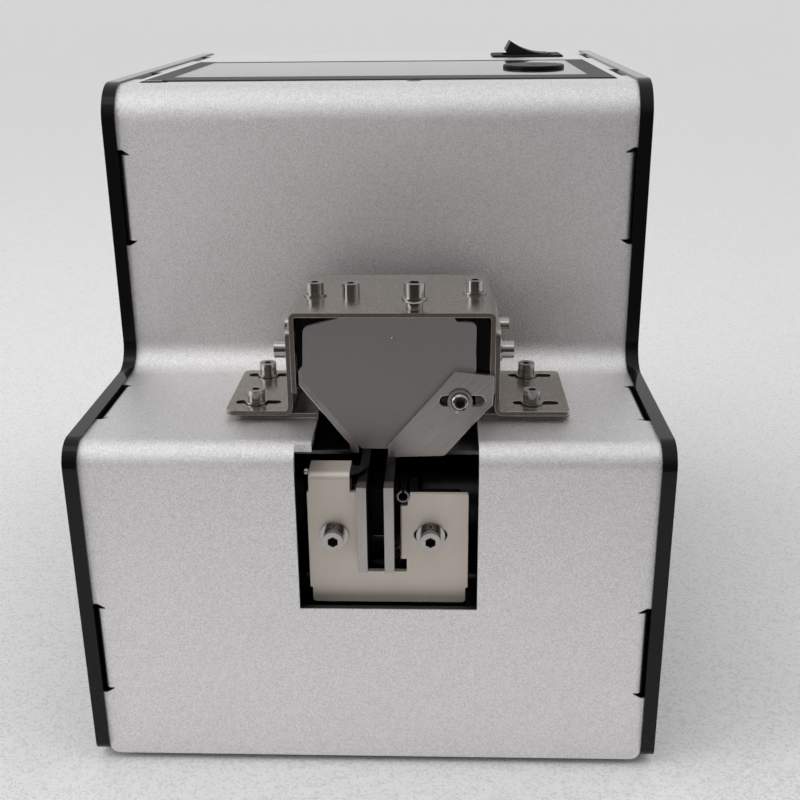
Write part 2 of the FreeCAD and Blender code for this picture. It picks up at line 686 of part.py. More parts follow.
def make_rubber_mounts():
    """Four feet, and the four pads under the vibrator."""
    feet = []
    for x, y in FOOT_PLACES:
        foot = rod(FOOT_DIA, Vector(x, y, 0), UP, BASE_Z)
        rim = [edge for edge in foot.Edges if edge.Closed and edge.CenterOfMass.z < 0.1]
        foot = foot.makeFillet(0.6, rim[:1])
        well = rod(M3_HEAD + 1.0, Vector(x, y, 0), UP, FOOT_SCREW_SINK)
        feet.append(foot.cut(well).cut(rod(M3_HOLE, Vector(x, y, 0), UP, BASE_Z)))
    return group(*feet, *vibro_pads())


def foot_screws():
    reach = BASE_TOP + 3 - FOOT_SCREW_SINK
    sunk = [Vector(x, y, FOOT_SCREW_SINK) for x, y in FOOT_PLACES]
    return [pan_screw(at, DOWN, reach, head_h=FOOT_SCREW_SINK - 0.3) for at in sunk]


def make_chassis_plate(side):
    """Upright plate with a foot; side is -1 for the left one and 1 for the right one."""
    outer = CHASSIS_RIGHT if side > 0 else CHASSIS_LEFT
    x0, x1 = sorted((outer, outer - side * CHASSIS_T))
    step_y = BIN_Y0 - 1.0
    pairs = [
        (CHASSIS_Y0, BASE_TOP), (CHASSIS_Y1, BASE_TOP), (CHASSIS_Y1, CHASSIS_UNDER_BIN),
        (step_y, CHASSIS_UNDER_BIN), (step_y, CHASSIS_TOP), (CHASSIS_Y0 + 14, CHASSIS_TOP),
        (CHASSIS_Y0, BAR_Z1 + 4),
    ]
    plate = side_shape(pairs, x0, x1)
    f0, f1 = sorted((outer, outer + side * (CHASSIS_FOOT - CHASSIS_T)))
    plate = plate.fuse(box(f0, f1, CHASSIS_Y0, CHASSIS_Y1, BASE_TOP, BASE_TOP + CHASSIS_T))
    for point in chassis_foot_screws():
        plate = plate.cut(rod(M3_HOLE, point - UP * CHASSIS_T, UP, CHASSIS_T))
    plate = plate.cut(rod(BUSH_DIA, Vector(x0, SCOOP_Y, SCOOP_Z), RIGHT, CHASSIS_T))
    for at in bar_screw_points():
        plate = plate.cut(rod(M3_HOLE, Vector(x0, at.y, at.z), RIGHT, CHASSIS_T))
    if side > 0:
        plate = plate.cut(rod(GEARBOX_BOSS + 0.4, Vector(x0, MOTOR_AT.y, MOTOR_Z), RIGHT, CHASSIS_T))
        for at in motor_screw_points():
            plate = plate.cut(rod(M3_HOLE, Vector(x0, at.y, at.z), RIGHT, CHASSIS_T))
    return plate.removeSplitter()


def bar_screw_points():
    y = FRONT + (BAR_Y0 + BAR_Y1) / 2
    z = (BAR_Z0 + BAR_Z1) / 2
    return [Vector(CHASSIS_LEFT, y, z), Vector(CHASSIS_RIGHT, y, z)]


def make_chassis_screws():
    """The round-headed screws of the base, feet, chassis, vibrator and motor."""
    through_base = [pan_screw(at, UP, CHASSIS_T + BASE_T) for at in chassis_foot_screws()]
    left, right = bar_screw_points()
    into_bar = [pan_screw(left, LEFT, 8), pan_screw(right, RIGHT, 8)]
    return group(*through_base, *into_bar, *foot_screws(), *vibro_screws(), *motor_screws())


def make_front_bar():
    x0, x1 = CHASSIS_LEFT + CHASSIS_T, CHASSIS_RIGHT - CHASSIS_T
    bar = box(x0, x1, FRONT + BAR_Y0, FRONT + BAR_Y1, BAR_Z0, BAR_Z1)
    left, right = bar_screw_points()
    return bar.cut(rod(M3_DIA, left, RIGHT, 9)).cut(rod(M3_DIA, right, LEFT, 9))


# ------------------------------------------------------------------ front guide plate
GUIDE_Y0 = FRONT + GUIDE_SETBACK
GUIDE_Y1 = GUIDE_Y0 + GUIDE_T
BLOCK_Y1 = GUIDE_Y1 + BLOCK_DEPTH
PIN_EAR = 1.5                # wall of the ear round the roll pin
RAIL_OUT = RAIL_GAP / 2 + RAIL_T


def make_guide_plate():
    tongue_x0 = GUIDE_X0 + 0.4
    neck_x = GUIDE_SLOT_X1 + GUIDE_NECK
    foot_x0, foot_x1 = GUIDE_X0 + GUIDE_WAIST, GUIDE_X1 - GUIDE_WAIST
    waist_z = GUIDE_Z0 + GUIDE_WAIST_H
    pairs = [
        (foot_x0, GUIDE_Z0), (foot_x1, GUIDE_Z0), (foot_x1, waist_z), (GUIDE_X1, waist_z),
        (GUIDE_X1, GUIDE_RIGHT_TOP), (neck_x, GUIDE_RIGHT_TOP), (neck_x, GUIDE_NECK_Z),
        (GUIDE_SLOT_X1, GUIDE_NECK_Z), (GUIDE_SLOT_X1, GUIDE_SLOT_Z), (GUIDE_SLOT_X0, GUIDE_SLOT_Z),
        (GUIDE_SLOT_X0, GUIDE_SHOULDER_Z), (GUIDE_ARM_X1, GUIDE_SHOULDER_Z), (GUIDE_ARM_X1, GUIDE_LEFT_TOP),
        (tongue_x0, GUIDE_LEFT_TOP), (tongue_x0, GUIDE_SHOULDER_Z), (GUIDE_X0, GUIDE_SHOULDER_Z),
        (GUIDE_X0, waist_z), (foot_x0, waist_z),
    ]
    radii = [0.8, 0.8, 0.2, 0.2, 0.3, 0.4, 0, 0, 0.3, 0.3, 0.3, 0, 0, 0, 0, 0, 0.2, 0.2]
    plate = front_shape(pairs, GUIDE_Y0, GUIDE_Y1, radii)
    lip_y = GUIDE_Y1 + GUIDE_LIP
    fold = GUIDE_BEND + GUIDE_T
    bend_in = GUIDE_BEND - GUIDE_T
    top_z = GUIDE_LEFT_TOP
    plate = plate.cut(box(tongue_x0, GUIDE_ARM_X1, GUIDE_Y0, GUIDE_Y1, top_z - fold, top_z))
    top_lip = side_shape([
        (GUIDE_Y0, top_z - fold), (GUIDE_Y0, top_z), (lip_y, top_z), (lip_y, top_z - GUIDE_T),
        (GUIDE_Y1, top_z - GUIDE_T), (GUIDE_Y1, top_z - fold),
    ], tongue_x0, GUIDE_ARM_X1, [0, GUIDE_BEND, 0, 0, bend_in, 0])
    edge_x = GUIDE_LIP_X
    lip_z1 = GUIDE_NECK_Z - 0.1
    plate = plate.cut(box(edge_x, edge_x + fold, GUIDE_Y0, GUIDE_Y1, GUIDE_SIDE_LIP_Z, lip_z1))
    side_lip = plan_shape([
        (edge_x + fold, GUIDE_Y0), (edge_x, GUIDE_Y0), (edge_x, lip_y), (edge_x + GUIDE_T, lip_y),
        (edge_x + GUIDE_T, GUIDE_Y1), (edge_x + fold, GUIDE_Y1),
    ], GUIDE_SIDE_LIP_Z, lip_z1, [0, GUIDE_SIDE_BEND, 0, 0, 0, 0])
    plate = plate.fuse([top_lip, side_lip])
    left_x, right_x = GUIDE_SCREW_X
    hole = GUIDE_SCREW_DIA + 2 * SCREW_PLAY
    plate = plate.cut(rod(hole, Vector(left_x, GUIDE_Y0, GUIDE_SCREW_Z), BACKWARD, GUIDE_T))
    centre = Vector(right_x, GUIDE_Y0, GUIDE_SCREW_Z)
    plate = plate.cut(slot_hole(centre, BACKWARD, RIGHT, GUIDE_SCREW_DIA + 0.4, GUIDE_SLOT_SPAN, GUIDE_T))
    pin_at = Vector(ROLL_PIN_X, GUIDE_Y0, ROLL_PIN_Z)
    return plate.cut(rod(ROLL_PIN_DIA + 2 * SCREW_PLAY, pin_at, BACKWARD, GUIDE_T)).removeSplitter()


def make_guide_blocks():
    return group(guide_block(-1), guide_block(1))


def guide_block(side):
    """Block behind the guide plate, standing on the front bar."""
    if side < 0:
        x0, x1 = GUIDE_X0 + 2.0, RAIL_X - RAIL_OUT - 1.3
        block = box(x0, x1, GUIDE_Y1, BLOCK_Y1, BAR_Z1, GUIDE_LEFT_TOP - GUIDE_BEND)
    else:
        x0, x1 = GUIDE_LIP_X + GUIDE_T + 0.5, GUIDE_X1 - 1.5
        block = box(x0, x1, GUIDE_Y1, BLOCK_Y1, BAR_Z1, BLOCK_TOP)
        ear = ROLL_PIN_DIA / 2 + 0.1
        ear_x1 = ROLL_PIN_X + ear + PIN_EAR
        behind_lip = GUIDE_Y1 + GUIDE_LIP + 0.3
        block = block.fuse([
            box(ROLL_PIN_X - ear, ear_x1, GUIDE_Y1 + 0.6, BLOCK_Y1, BLOCK_TOP, ROLL_PIN_Z + 0.4),
            box(ROLL_PIN_X + ear - 0.5, ear_x1, behind_lip, BLOCK_Y1, BLOCK_TOP - 4, BLOCK_TOP),
        ])
    screw_x = GUIDE_SCREW_X[0 if side < 0 else 1]
    block = block.cut(rod(GUIDE_SCREW_DIA, Vector(screw_x, GUIDE_Y1, GUIDE_SCREW_Z), BACKWARD, 6))
    block = block.cut(rod(ROLL_PIN_DIA, Vector(ROLL_PIN_X, GUIDE_Y1, ROLL_PIN_Z), BACKWARD, BLOCK_DEPTH))
    return block.removeSplitter()


def guide_screws():
    solids = []
    hole = GUIDE_SCREW_DIA + 2 * SCREW_PLAY
    for x in GUIDE_SCREW_X:
        seat = Vector(x, GUIDE_Y0, GUIDE_SCREW_Z)
        on_flat = seat + AHEAD * GUIDE_WASHER_T
        on_spring = on_flat + AHEAD * SPRING_WASHER_T
        solids.append(washer(seat, AHEAD, GUIDE_WASHER, hole, GUIDE_WASHER_T))
        solids.append(spring_washer(on_flat, AHEAD, GUIDE_SCREW_HEAD, hole))
        solids.append(socket_screw(on_spring, AHEAD, 6.5, GUIDE_SCREW_DIA, GUIDE_SCREW_HEAD,
                                   GUIDE_SCREW_HEAD_H, GUIDE_SCREW_HEX))
    return solids


def make_roll_pin():
    start = Vector(ROLL_PIN_X, GUIDE_Y0 - ROLL_PIN_PROUD, ROLL_PIN_Z)
    length = BLOCK_Y1 - start.y
    tube = rod(ROLL_PIN_DIA, start, BACKWARD, length)
    tube = tube.cut(rod(ROLL_PIN_BORE, start, BACKWARD, length))
    return tube.cut(box(ROLL_PIN_X - 0.2, ROLL_PIN_X + 0.2, start.y, BLOCK_Y1, ROLL_PIN_Z, ROLL_PIN_Z + 2))


def make_retainer_leaf():
    """Thin leaf over the left rail, fixed to the end of the guide plate's top lip."""
    z0 = RAIL_TOP + LEAF_GAP
    inner = RAIL_X - RAIL_GAP / 2
    back = GUIDE_Y1 + LEAF_REACH
    pairs = [
        (GUIDE_ARM_X1, GUIDE_Y0 + 0.3), (GUIDE_ARM_X1 + 1.9, GUIDE_Y0 + 1.0), (inner, back),
        (GUIDE_ARM_X1, back),
    ]
    return plan_shape(pairs, z0, z0 + LEAF_T)


# ------------------------------------------------------------------ rails and vibrator
CARRIER_Z0 = RAIL_BOTTOM - CARRIER_H
RAIL_END = SCOOP_Y - 3.7 - SCOOP_GAP
VIBRO_Z0 = BASE_TOP + VIBRO_PAD_H
VIBRO_Z1 = VIBRO_Z0 + VIBRO_BASE_H


def make_rail(side):
    inner = RAIL_X + side * RAIL_GAP / 2
    x0, x1 = sorted((inner, inner + side * RAIL_T))
    rail = box(x0, x1, RAIL_TIP, RAIL_END, RAIL_BOTTOM, RAIL_TOP)
    for y in RAIL_SCREW_Y:
        at = Vector(x0, FRONT + y, RAIL_BOTTOM + RAIL_SCREW_RISE)
        rail = rail.cut(rod(M3_HOLE, at, RIGHT, RAIL_T))
    return rail


def make_carrier():
    x0, x1 = RAIL_X - CARRIER_WIDTH / 2, RAIL_X + CARRIER_WIDTH / 2
    y0, y1 = FRONT + CARRIER_Y0, FRONT + CARRIER_Y1
    body = box(x0, x1, y0, y1, CARRIER_Z0, RAIL_BOTTOM)
    web = box(RAIL_X - RAIL_GAP / 2, RAIL_X + RAIL_GAP / 2, y0, y1, RAIL_BOTTOM, RAIL_BOTTOM + CARRIER_WEB)
    body = body.fuse(web)
    for y in RAIL_SCREW_Y:
        at = Vector(x0, FRONT + y, RAIL_BOTTOM + RAIL_SCREW_RISE)
        body = body.cut(rod(M3_HOLE, at, RIGHT, CARRIER_WIDTH))
    for seat, axis in spring_screw_points():
        body = body.cut(rod(SPRING_SCREW, seat, axis * -1, 7))
    return body


def make_rail_screws():
    """Two screws with nuts that clamp both rails on the carrier's web, and the springs' screws."""
    places = spring_screw_points()
    solids = [pan_screw(at, axis, 6, dia=SPRING_SCREW, head=4.5, head_h=1.5) for at, axis in places]
    for y in RAIL_SCREW_Y:
        seat = Vector(RAIL_X + RAIL_OUT, FRONT + y, RAIL_BOTTOM + RAIL_SCREW_RISE)
        solids.append(pan_screw(seat, RIGHT, 2 * RAIL_OUT + 3.2))
        nut_at = Vector(RAIL_X - RAIL_OUT, seat.y, seat.z)
        solids.append(hex_nut(nut_at, LEFT, M3_HOLE, 5.5, 2.4))
    return group(*solids)


def hex_nut(seat, axis, bore, across, thick):
    return hex_prism(seat, axis, across, thick).cut(rod(bore, seat, axis, thick))


def make_leaf_springs():
    half = CARRIER_WIDTH / 2 - 1
    leaves = []
    for face, outward in ((FRONT + CARRIER_Y0, -1), (FRONT + CARRIER_Y1, 1)):
        y0, y1 = sorted((face, face + outward * SPRING_T))
        leaf = box(RAIL_X - half, RAIL_X + half, y0, y1, VIBRO_Z0 + 2, RAIL_BOTTOM - 1)
        for seat, axis in spring_screw_points():
            leaf = leaf.cut(rod(SPRING_SCREW + 2 * SCREW_PLAY, seat, axis * -1, SPRING_T))
        leaves.append(leaf)
    return group(*leaves)


def spring_screw_points():
    points = []
    for face, outward in ((CARRIER_Y0, -1), (CARRIER_Y1, 1)):
        for x in (RAIL_X - 4.5, RAIL_X + 4.5):
            seat_y = FRONT + face + outward * SPRING_T
            points.append((Vector(x, seat_y, CARRIER_Z0 + CARRIER_H / 2 - 0.5), Vector(0, outward, 0)))
    return points


def make_vibro_base():
    x0, x1 = RAIL_X - CARRIER_WIDTH / 2 - 2, RAIL_X + CARRIER_WIDTH / 2 + 2
    y0 = FRONT + CARRIER_Y0 - SPRING_T - SPRING_GAP - 5
    y1 = FRONT + CARRIER_Y1 + SPRING_T + SPRING_GAP + 5
    body = box(x0, x1, y0, y1, VIBRO_Z0, VIBRO_Z1)
    for face, outward in ((CARRIER_Y0, -1), (CARRIER_Y1, 1)):
        near = FRONT + face - outward * SPRING_GAP
        far = FRONT + face + outward * (SPRING_T + SPRING_GAP)
        s0, s1 = sorted((near, far))
        body = body.cut(box(x0 + 2, x1 - 2, s0, s1, VIBRO_Z0 + 1.2, VIBRO_Z1))
    for point in vibro_pad_points():
        body = body.cut(rod(M3_DIA, Vector(point.x, point.y, VIBRO_Z0), UP, 6))
    return body


def vibro_pad_points():
    reach = CARRIER_WIDTH / 2 - 3.5
    return [Vector(RAIL_X + sx * reach, y, BASE_TOP) for sx in (-1, 1)
            for y in (FRONT + CARRIER_Y0 + 6.5, FRONT + CARRIER_Y1 - 6.5)]


def vibro_pads():
    pads = []
    for point in vibro_pad_points():
        pad = rod(VIBRO_PAD_DIA, point, UP, VIBRO_PAD_H)
        pads.append(pad.cut(rod(M3_HOLE, point, UP, VIBRO_PAD_H)))
    return pads


def vibro_screws():
    reach = BASE_T + VIBRO_PAD_H + 5
    return [pan_screw(Vector(p.x, p.y, BASE_Z), DOWN, reach) for p in vibro_pad_points()]


MAGNET_AXIS_Z = VIBRO_Z1 + COIL_DIA / 2 + 0.5
ARMATURE_Y0 = FRONT + MAGNET_Y0 + MAGNET_LENGTH + MAGNET_GAP


def make_magnet_core():
    """Square core with a yoke bolted on the vibrator base."""
    y0 = FRONT + MAGNET_Y0
    half = CORE_SIZE / 2
    x0, x1 = RAIL_X - half, RAIL_X + half
    core = box(x0, x1, y0 - 3, y0 + MAGNET_LENGTH, MAGNET_AXIS_Z - half, MAGNET_AXIS_Z + half)
    yoke = box(x0, x1, y0 - 6, y0 - 3, VIBRO_Z1, MAGNET_AXIS_Z + half)
    foot = box(x0, x1, y0 - 9, y0 - 3, VIBRO_Z1, VIBRO_Z1 + 2)
    return core.fuse([yoke, foot]).removeSplitter()


def make_magnet_coil():
    y0 = FRONT + MAGNET_Y0 - 2.6
    length = MAGNET_LENGTH - 0.4
    half = CORE_SIZE / 2
    coil = rod(COIL_DIA, Vector(RAIL_X, y0, MAGNET_AXIS_Z), BACKWARD, length)
    z0, z1 = MAGNET_AXIS_Z - half, MAGNET_AXIS_Z + half
    return coil.cut(box(RAIL_X - half, RAIL_X + half, y0, y0 + length, z0, z1))


def make_armature():
    half = CORE_SIZE / 2 + 1
    plate = box(RAIL_X - half, RAIL_X + half, ARMATURE_Y0, ARMATURE_Y0 + ARMATURE_T,
                MAGNET_AXIS_Z - CORE_SIZE / 2, CARRIER_Z0)
    flange = box(RAIL_X - half, RAIL_X + half, ARMATURE_Y0, ARMATURE_Y0 + 9, CARRIER_Z0 - 2, CARRIER_Z0)
    return plate.fuse(flange).removeSplitter()


GEARBOX_BOSS = 7.0


def motor_screw_points():
    return [Vector(MOTOR_AT.x, MOTOR_AT.y + dy, MOTOR_Z) for dy in (-8.5, 8.5)]


# ------------------------------------------------------------------ scoop
HUB_HALF = 3.5
BLADE_FRONT = SCOOP_Y - 3.7


def scoop_blade(side):
    inner = RAIL_X + side * RAIL_GAP / 2
    x0, x1 = sorted((inner, inner + side * RAIL_T))
    rear = SCOOP_Y + SCOOP_REACH
    pairs = [
        (BLADE_FRONT, RAIL_TOP), (rear, RAIL_TOP), (rear, RAIL_TOP - SCOOP_DEPTH_BACK),
        (SCOOP_Y + 8, RAIL_TOP - SCOOP_DEPTH_FRONT), (BLADE_FRONT, RAIL_TOP - SCOOP_DEPTH_FRONT),
    ]
    blade = side_shape(pairs, x0, x1, [0, 1.0, 2.0, 4.0, 2.0])
    return blade.cut(rod(SHAFT_DIA, Vector(x0, SCOOP_Y, SCOOP_Z), RIGHT, RAIL_T))


def make_scoop_blades():
    """Two blades and the blocks that hold them apart; the front block sits on the shaft."""
    x0, x1 = RAIL_X - RAIL_GAP / 2, RAIL_X + RAIL_GAP / 2
    front = box(x0, x1, SCOOP_Y - HUB_HALF, SCOOP_Y + HUB_HALF, SCOOP_Z - 3.2, SCOOP_Z + 3.2)
    front = front.cut(rod(SHAFT_DIA, Vector(x0, SCOOP_Y, SCOOP_Z), RIGHT, RAIL_GAP))
    rear_y = SCOOP_Y + SCOOP_REACH
    rear_z = RAIL_TOP - SCOOP_DEPTH_BACK
    rear = box(x0, x1, rear_y - 6, rear_y - 2, rear_z + 1, rear_z + 4)
    return group(scoop_blade(-1), scoop_blade(1), front, rear)


LEVER_X0 = CHASSIS_RIGHT + CRANK_CLEAR + CRANK_T + 0.6 + ROD_T + LEVER_CLEAR
LEVER_X1 = LEVER_X0 + LEVER_T
SHAFT_X0 = CHASSIS_LEFT - 2.0


def make_scoop_shaft():
    """Shaft with its two set collars: outside the left plate, inside the right one."""
    shaft = rod(SHAFT_DIA, Vector(SHAFT_X0, SCOOP_Y, SCOOP_Z), RIGHT, LEVER_X1 - SHAFT_X0)
    left = washer(Vector(SHAFT_X0, SCOOP_Y, SCOOP_Z), RIGHT, outer=8.0, bore=SHAFT_DIA, thick=0.7)
    inner_x = CHASSIS_RIGHT - CHASSIS_T - 1.4
    right = washer(Vector(inner_x - 4, SCOOP_Y, SCOOP_Z), RIGHT, outer=8.0, bore=SHAFT_DIA, thick=4.0)
    return group(shaft, left, right)


def make_bearing_bushes():
    """Flanged bushes: two for the scoop shaft in the chassis plates, one for the brush shaft."""
    bushes = []
    for face, axis in ((CHASSIS_LEFT + CHASSIS_T, LEFT), (CHASSIS_RIGHT - CHASSIS_T, RIGHT)):
        seat = Vector(face, SCOOP_Y, SCOOP_Z)
        body = rod(BUSH_DIA, seat, axis, CHASSIS_T).fuse(rod(BUSH_FLANGE, seat - axis * 1.0, axis, 1.0))
        bushes.append(body.cut(rod(SHAFT_DIA + 2 * RUNNING_FIT, seat - axis * 1.0, axis, CHASSIS_T + 1)))
    return group(*bushes, brush_bush())


# ------------------------------------------------------------------ drive
CRANK_X0 = CHASSIS_RIGHT + CRANK_CLEAR
ROD_X0 = CRANK_X0 + CRANK_T + 0.6
CRANK_PIN = Vector(
    CRANK_X0 + CRANK_T,
    MOTOR_AT.y + CRANK_RADIUS * math.cos(math.radians(CRANK_REST)),
    MOTOR_Z + CRANK_RADIUS * math.sin(math.radians(CRANK_REST)),
)
LEVER_PIN = Vector(LEVER_X0, MOTOR_AT.y, SCOOP_Z)
MOTOR_SHAFT = 4.0


def make_motor():
    """Gear motor on the right chassis plate: motor can, gearbox, boss and shaft stub inside the disc."""
    face = CHASSIS_RIGHT - CHASSIS_T
    at = Vector(face, MOTOR_AT.y, MOTOR_Z)
    gearbox = rod(MOTOR_DIA, at, LEFT, GEARBOX_LENGTH)
    can = rod(MOTOR_DIA - 0.8, at + LEFT * GEARBOX_LENGTH, LEFT, MOTOR_LENGTH)
    boss = rod(GEARBOX_BOSS, at, RIGHT, CHASSIS_T + 0.4)
    body = gearbox.fuse([can, boss])
    for point in motor_screw_points():
        body = body.cut(rod(M3_DIA, Vector(face, point.y, point.z), LEFT, 5))
    return body.cut(rod(MOTOR_SHAFT + 2 * RUNNING_FIT, at + LEFT * 6, RIGHT, CHASSIS_T + 8))


def make_motor_shaft():
    start = CHASSIS_RIGHT - CHASSIS_T - 5
    return rod(MOTOR_SHAFT, Vector(start, MOTOR_AT.y, MOTOR_Z), RIGHT, CRANK_X0 + CRANK_T - start)


def motor_screws():
    return [pan_screw(at, RIGHT, CHASSIS_T + 4, head_h=1.6) for at in motor_screw_points()]


def make_crank_disc():
    """Disc with its riveted pin."""
    disc = rod(CRANK_DIA, Vector(CRANK_X0, MOTOR_AT.y, MOTOR_Z), RIGHT, CRANK_T)
    disc = disc.cut(rod(MOTOR_SHAFT, Vector(CRANK_X0, MOTOR_AT.y, MOTOR_Z), RIGHT, CRANK_T))
    return group(disc.cut(rod(CRANK_PIN_DIA, CRANK_PIN - RIGHT * 3, RIGHT, 3)), crank_pin())


def crank_pin():
    pin = rod(CRANK_PIN_DIA, CRANK_PIN - RIGHT * 3, RIGHT, 3 + 0.6 + ROD_T + 0.3)
    head = rod(CRANK_PIN_DIA + 2.4, CRANK_PIN + RIGHT * (0.6 + ROD_T + 0.3), RIGHT, 0.7)
    collar = rod(CRANK_PIN_DIA + 1.6, CRANK_PIN, RIGHT, 0.4)
    return pin.fuse([head, collar])


def make_rod():
    """Straight connecting rod with an eye at each end."""
    low = Vector(ROD_X0, CRANK_PIN.y, CRANK_PIN.z)
    high = Vector(ROD_X0, LEVER_PIN.y, LEVER_PIN.z)
    bar = slot_hole((low + high) / 2, RIGHT, (high - low).normalize(), ROD_WIDTH,
                    (high - low).Length + ROD_WIDTH, ROD_T)
    bore = CRANK_PIN_DIA + 2 * RUNNING_FIT
    return bar.cut(rod(bore, low, RIGHT, ROD_T)).cut(rod(bore, high, RIGHT, ROD_T))


def make_lever():
    shaft_at = Vector(LEVER_X0, SCOOP_Y, SCOOP_Z)
    reach = LEVER_PIN - shaft_at
    bar = slot_hole(shaft_at + reach / 2, RIGHT, BACKWARD, 8.0, reach.Length + 8.0, LEVER_T)
    bar = bar.cut(rod(SHAFT_DIA, shaft_at, RIGHT, LEVER_T))
    stub = rod(CRANK_PIN_DIA, LEVER_PIN, LEFT, LEVER_CLEAR - 0.6)
    return bar.fuse(stub)


# ------------------------------------------------------------------ hopper bin
def bin_outline(inset):
    """(x, z) outline of the bin's cross-section, moved inwards by inset."""
    wall = OPEN_X + 1.0 - inset
    slope = math.atan2(BIN_SLOPE_Z - BIN_FLOOR_Z, OPEN_X + 1.0 - BIN_TROUGH / 2)
    lift = inset / math.cos(slope)
    half = BIN_TROUGH / 2
    floor = BIN_FLOOR_Z + inset
    corner = (floor - BIN_FLOOR_Z - lift) / math.tan(slope)
    left_half, right_half = half - RAIL_X, half + RAIL_X
    rise = math.tan(slope)
    return [
        (-wall, RIM_Z), (-wall, BIN_FLOOR_Z + lift + (wall - left_half) * rise),
        (-left_half - corner, floor), (right_half + corner, floor),
        (wall, BIN_FLOOR_Z + lift + (wall - right_half) * rise), (wall, RIM_Z),
    ]


def make_bin():
    outer = front_shape(bin_outline(0), BIN_Y0, BIN_Y1, [0, 3, 3, 3, 3, 0])
    inner = front_shape(bin_outline(BIN_T), BIN_Y0 + BIN_T, BIN_Y1 - BIN_T, [0, 2, 2, 2, 2, 0])
    half = LID_X + RIM_SIDE
    rim = box(-half, half, LID_Y0 - RIM_REACH, LID_Y1 + RIM_REACH, RIM_Z - BIN_T, RIM_Z)
    tongue = box(TOP_SCREW_X - 6, TOP_SCREW_X + 6, UPPER + TOP_BEND, LID_Y0, RIM_Z - BIN_TONGUE, RIM_Z)
    shell = outer.fuse([rim, tongue]).cut(inner)
    shell = shell.cut(rod(M2_DIA, TOP_SCREW_AT - UP * COVER_T, DOWN, BIN_TONGUE))
    mouth = 1.3
    slot = box(RAIL_X - RAIL_OUT - mouth, RAIL_X + RAIL_OUT + mouth, BIN_Y0 - 1, BIN_Y0 + BIN_T + 1,
               RAIL_TOP - SCOOP_DEPTH_FRONT - 4, RAIL_TOP + 10)
    bush_at = Vector(RAIL_X, BIN_Y0, BRUSH_SHAFT_Z)
    return shell.cut(slot).cut(rod(BRUSH_SHAFT_DIA + 2 * RUNNING_FIT + 4, bush_at, BACKWARD, BIN_T))


# ------------------------------------------------------------------ brush
BRUSH_FRONT = FRONT + BRUSH_Y0
BRUSH_BACK = BRUSH_FRONT + BRUSH_THICK
BRISTLE_TIP = RAIL_TOP + BRUSH_CLEAR
LINK_Y = SCOOP_Y - LINK_ARM
LINK_X = RAIL_X + LINK_ARM / BRUSH_RATIO
LINK_ARM_X0 = LINK_X + LINK_DIA / 2 + 0.6
BRUSH_LEVER_Y1 = LINK_Y - LINK_DIA / 2 - 0.8 - 0.6


def brush_bush():
    """Flanged bush pressed into the bin's front wall."""
    at = Vector(RAIL_X, BIN_Y0, BRUSH_SHAFT_Z)
    barrel = rod(BRUSH_SHAFT_DIA + 2 * RUNNING_FIT + 4, at, BACKWARD, BIN_T)
    flange = rod(BRUSH_SHAFT_DIA + 8, at, AHEAD, 2.5)
    bore = rod(BRUSH_SHAFT_DIA + 2 * RUNNING_FIT, at + AHEAD * 2.5, BACKWARD, BIN_T + 2.5)
    return barrel.fuse(flange).cut(bore)


def make_brush_shaft():
    """Shaft with the lever on its front end."""
    start = Vector(RAIL_X, BRUSH_LEVER_Y1 - 2.0, BRUSH_SHAFT_Z)
    return group(rod(BRUSH_SHAFT_DIA, start, BACKWARD, BRUSH_BACK - start.y), brush_lever())


def make_brush_holder():
    """Arm that hangs from the shaft and clamps the bristles."""
    half = BRUSH_WIDTH / 2
    z1 = BRISTLE_TIP + BRISTLE_LENGTH
    head = box(RAIL_X - half, RAIL_X + half, BRUSH_FRONT, BRUSH_BACK, z1, z1 + 6)
    arm = box(RAIL_X - 3, RAIL_X + 3, BRUSH_FRONT, BRUSH_BACK, z1 + 5, BRUSH_SHAFT_Z)
    eye = rod(BRUSH_SHAFT_DIA + 5, Vector(RAIL_X, BRUSH_FRONT, BRUSH_SHAFT_Z), BACKWARD, BRUSH_THICK)
    holder = head.fuse([arm, eye])
    return holder.cut(rod(BRUSH_SHAFT_DIA, Vector(RAIL_X, BRUSH_FRONT, BRUSH_SHAFT_Z), BACKWARD, BRUSH_THICK))


def make_brush_bristles():
    half = BRUSH_WIDTH / 2 - 1
    y0, y1 = BRUSH_FRONT + 1, BRUSH_BACK - 1
    return box(RAIL_X - half, RAIL_X + half, y0, y1, BRISTLE_TIP, BRISTLE_TIP + BRISTLE_LENGTH)


def brush_lever():
    """The link's top end comes up beside this lever."""
    y0 = BRUSH_LEVER_Y1 - 2.0
    middle = Vector((RAIL_X + LINK_X) / 2, y0, BRUSH_SHAFT_Z)
    bar = slot_hole(middle, BACKWARD, RIGHT, 6.5, LINK_X - RAIL_X + 6.5, 2.0)
    bar = bar.cut(rod(BRUSH_SHAFT_DIA, Vector(RAIL_X, y0, BRUSH_SHAFT_Z), BACKWARD, 2.0))
    return bar


def make_link_arm():
    """Arm on the scoop shaft that moves the brush link up and down."""
    middle = Vector(LINK_ARM_X0, SCOOP_Y - LINK_ARM / 2, SCOOP_Z)
    arm = slot_hole(middle, RIGHT, BACKWARD, 7.0, LINK_ARM + 7.0, 2.5)
    arm = arm.cut(rod(SHAFT_DIA, Vector(LINK_ARM_X0, SCOOP_Y, SCOOP_Z), RIGHT, 2.5))
    pin_length = LINK_DIA + 1.2
    return arm.fuse(rod(1.6, Vector(LINK_ARM_X0, LINK_Y, SCOOP_Z), LEFT, pin_length))


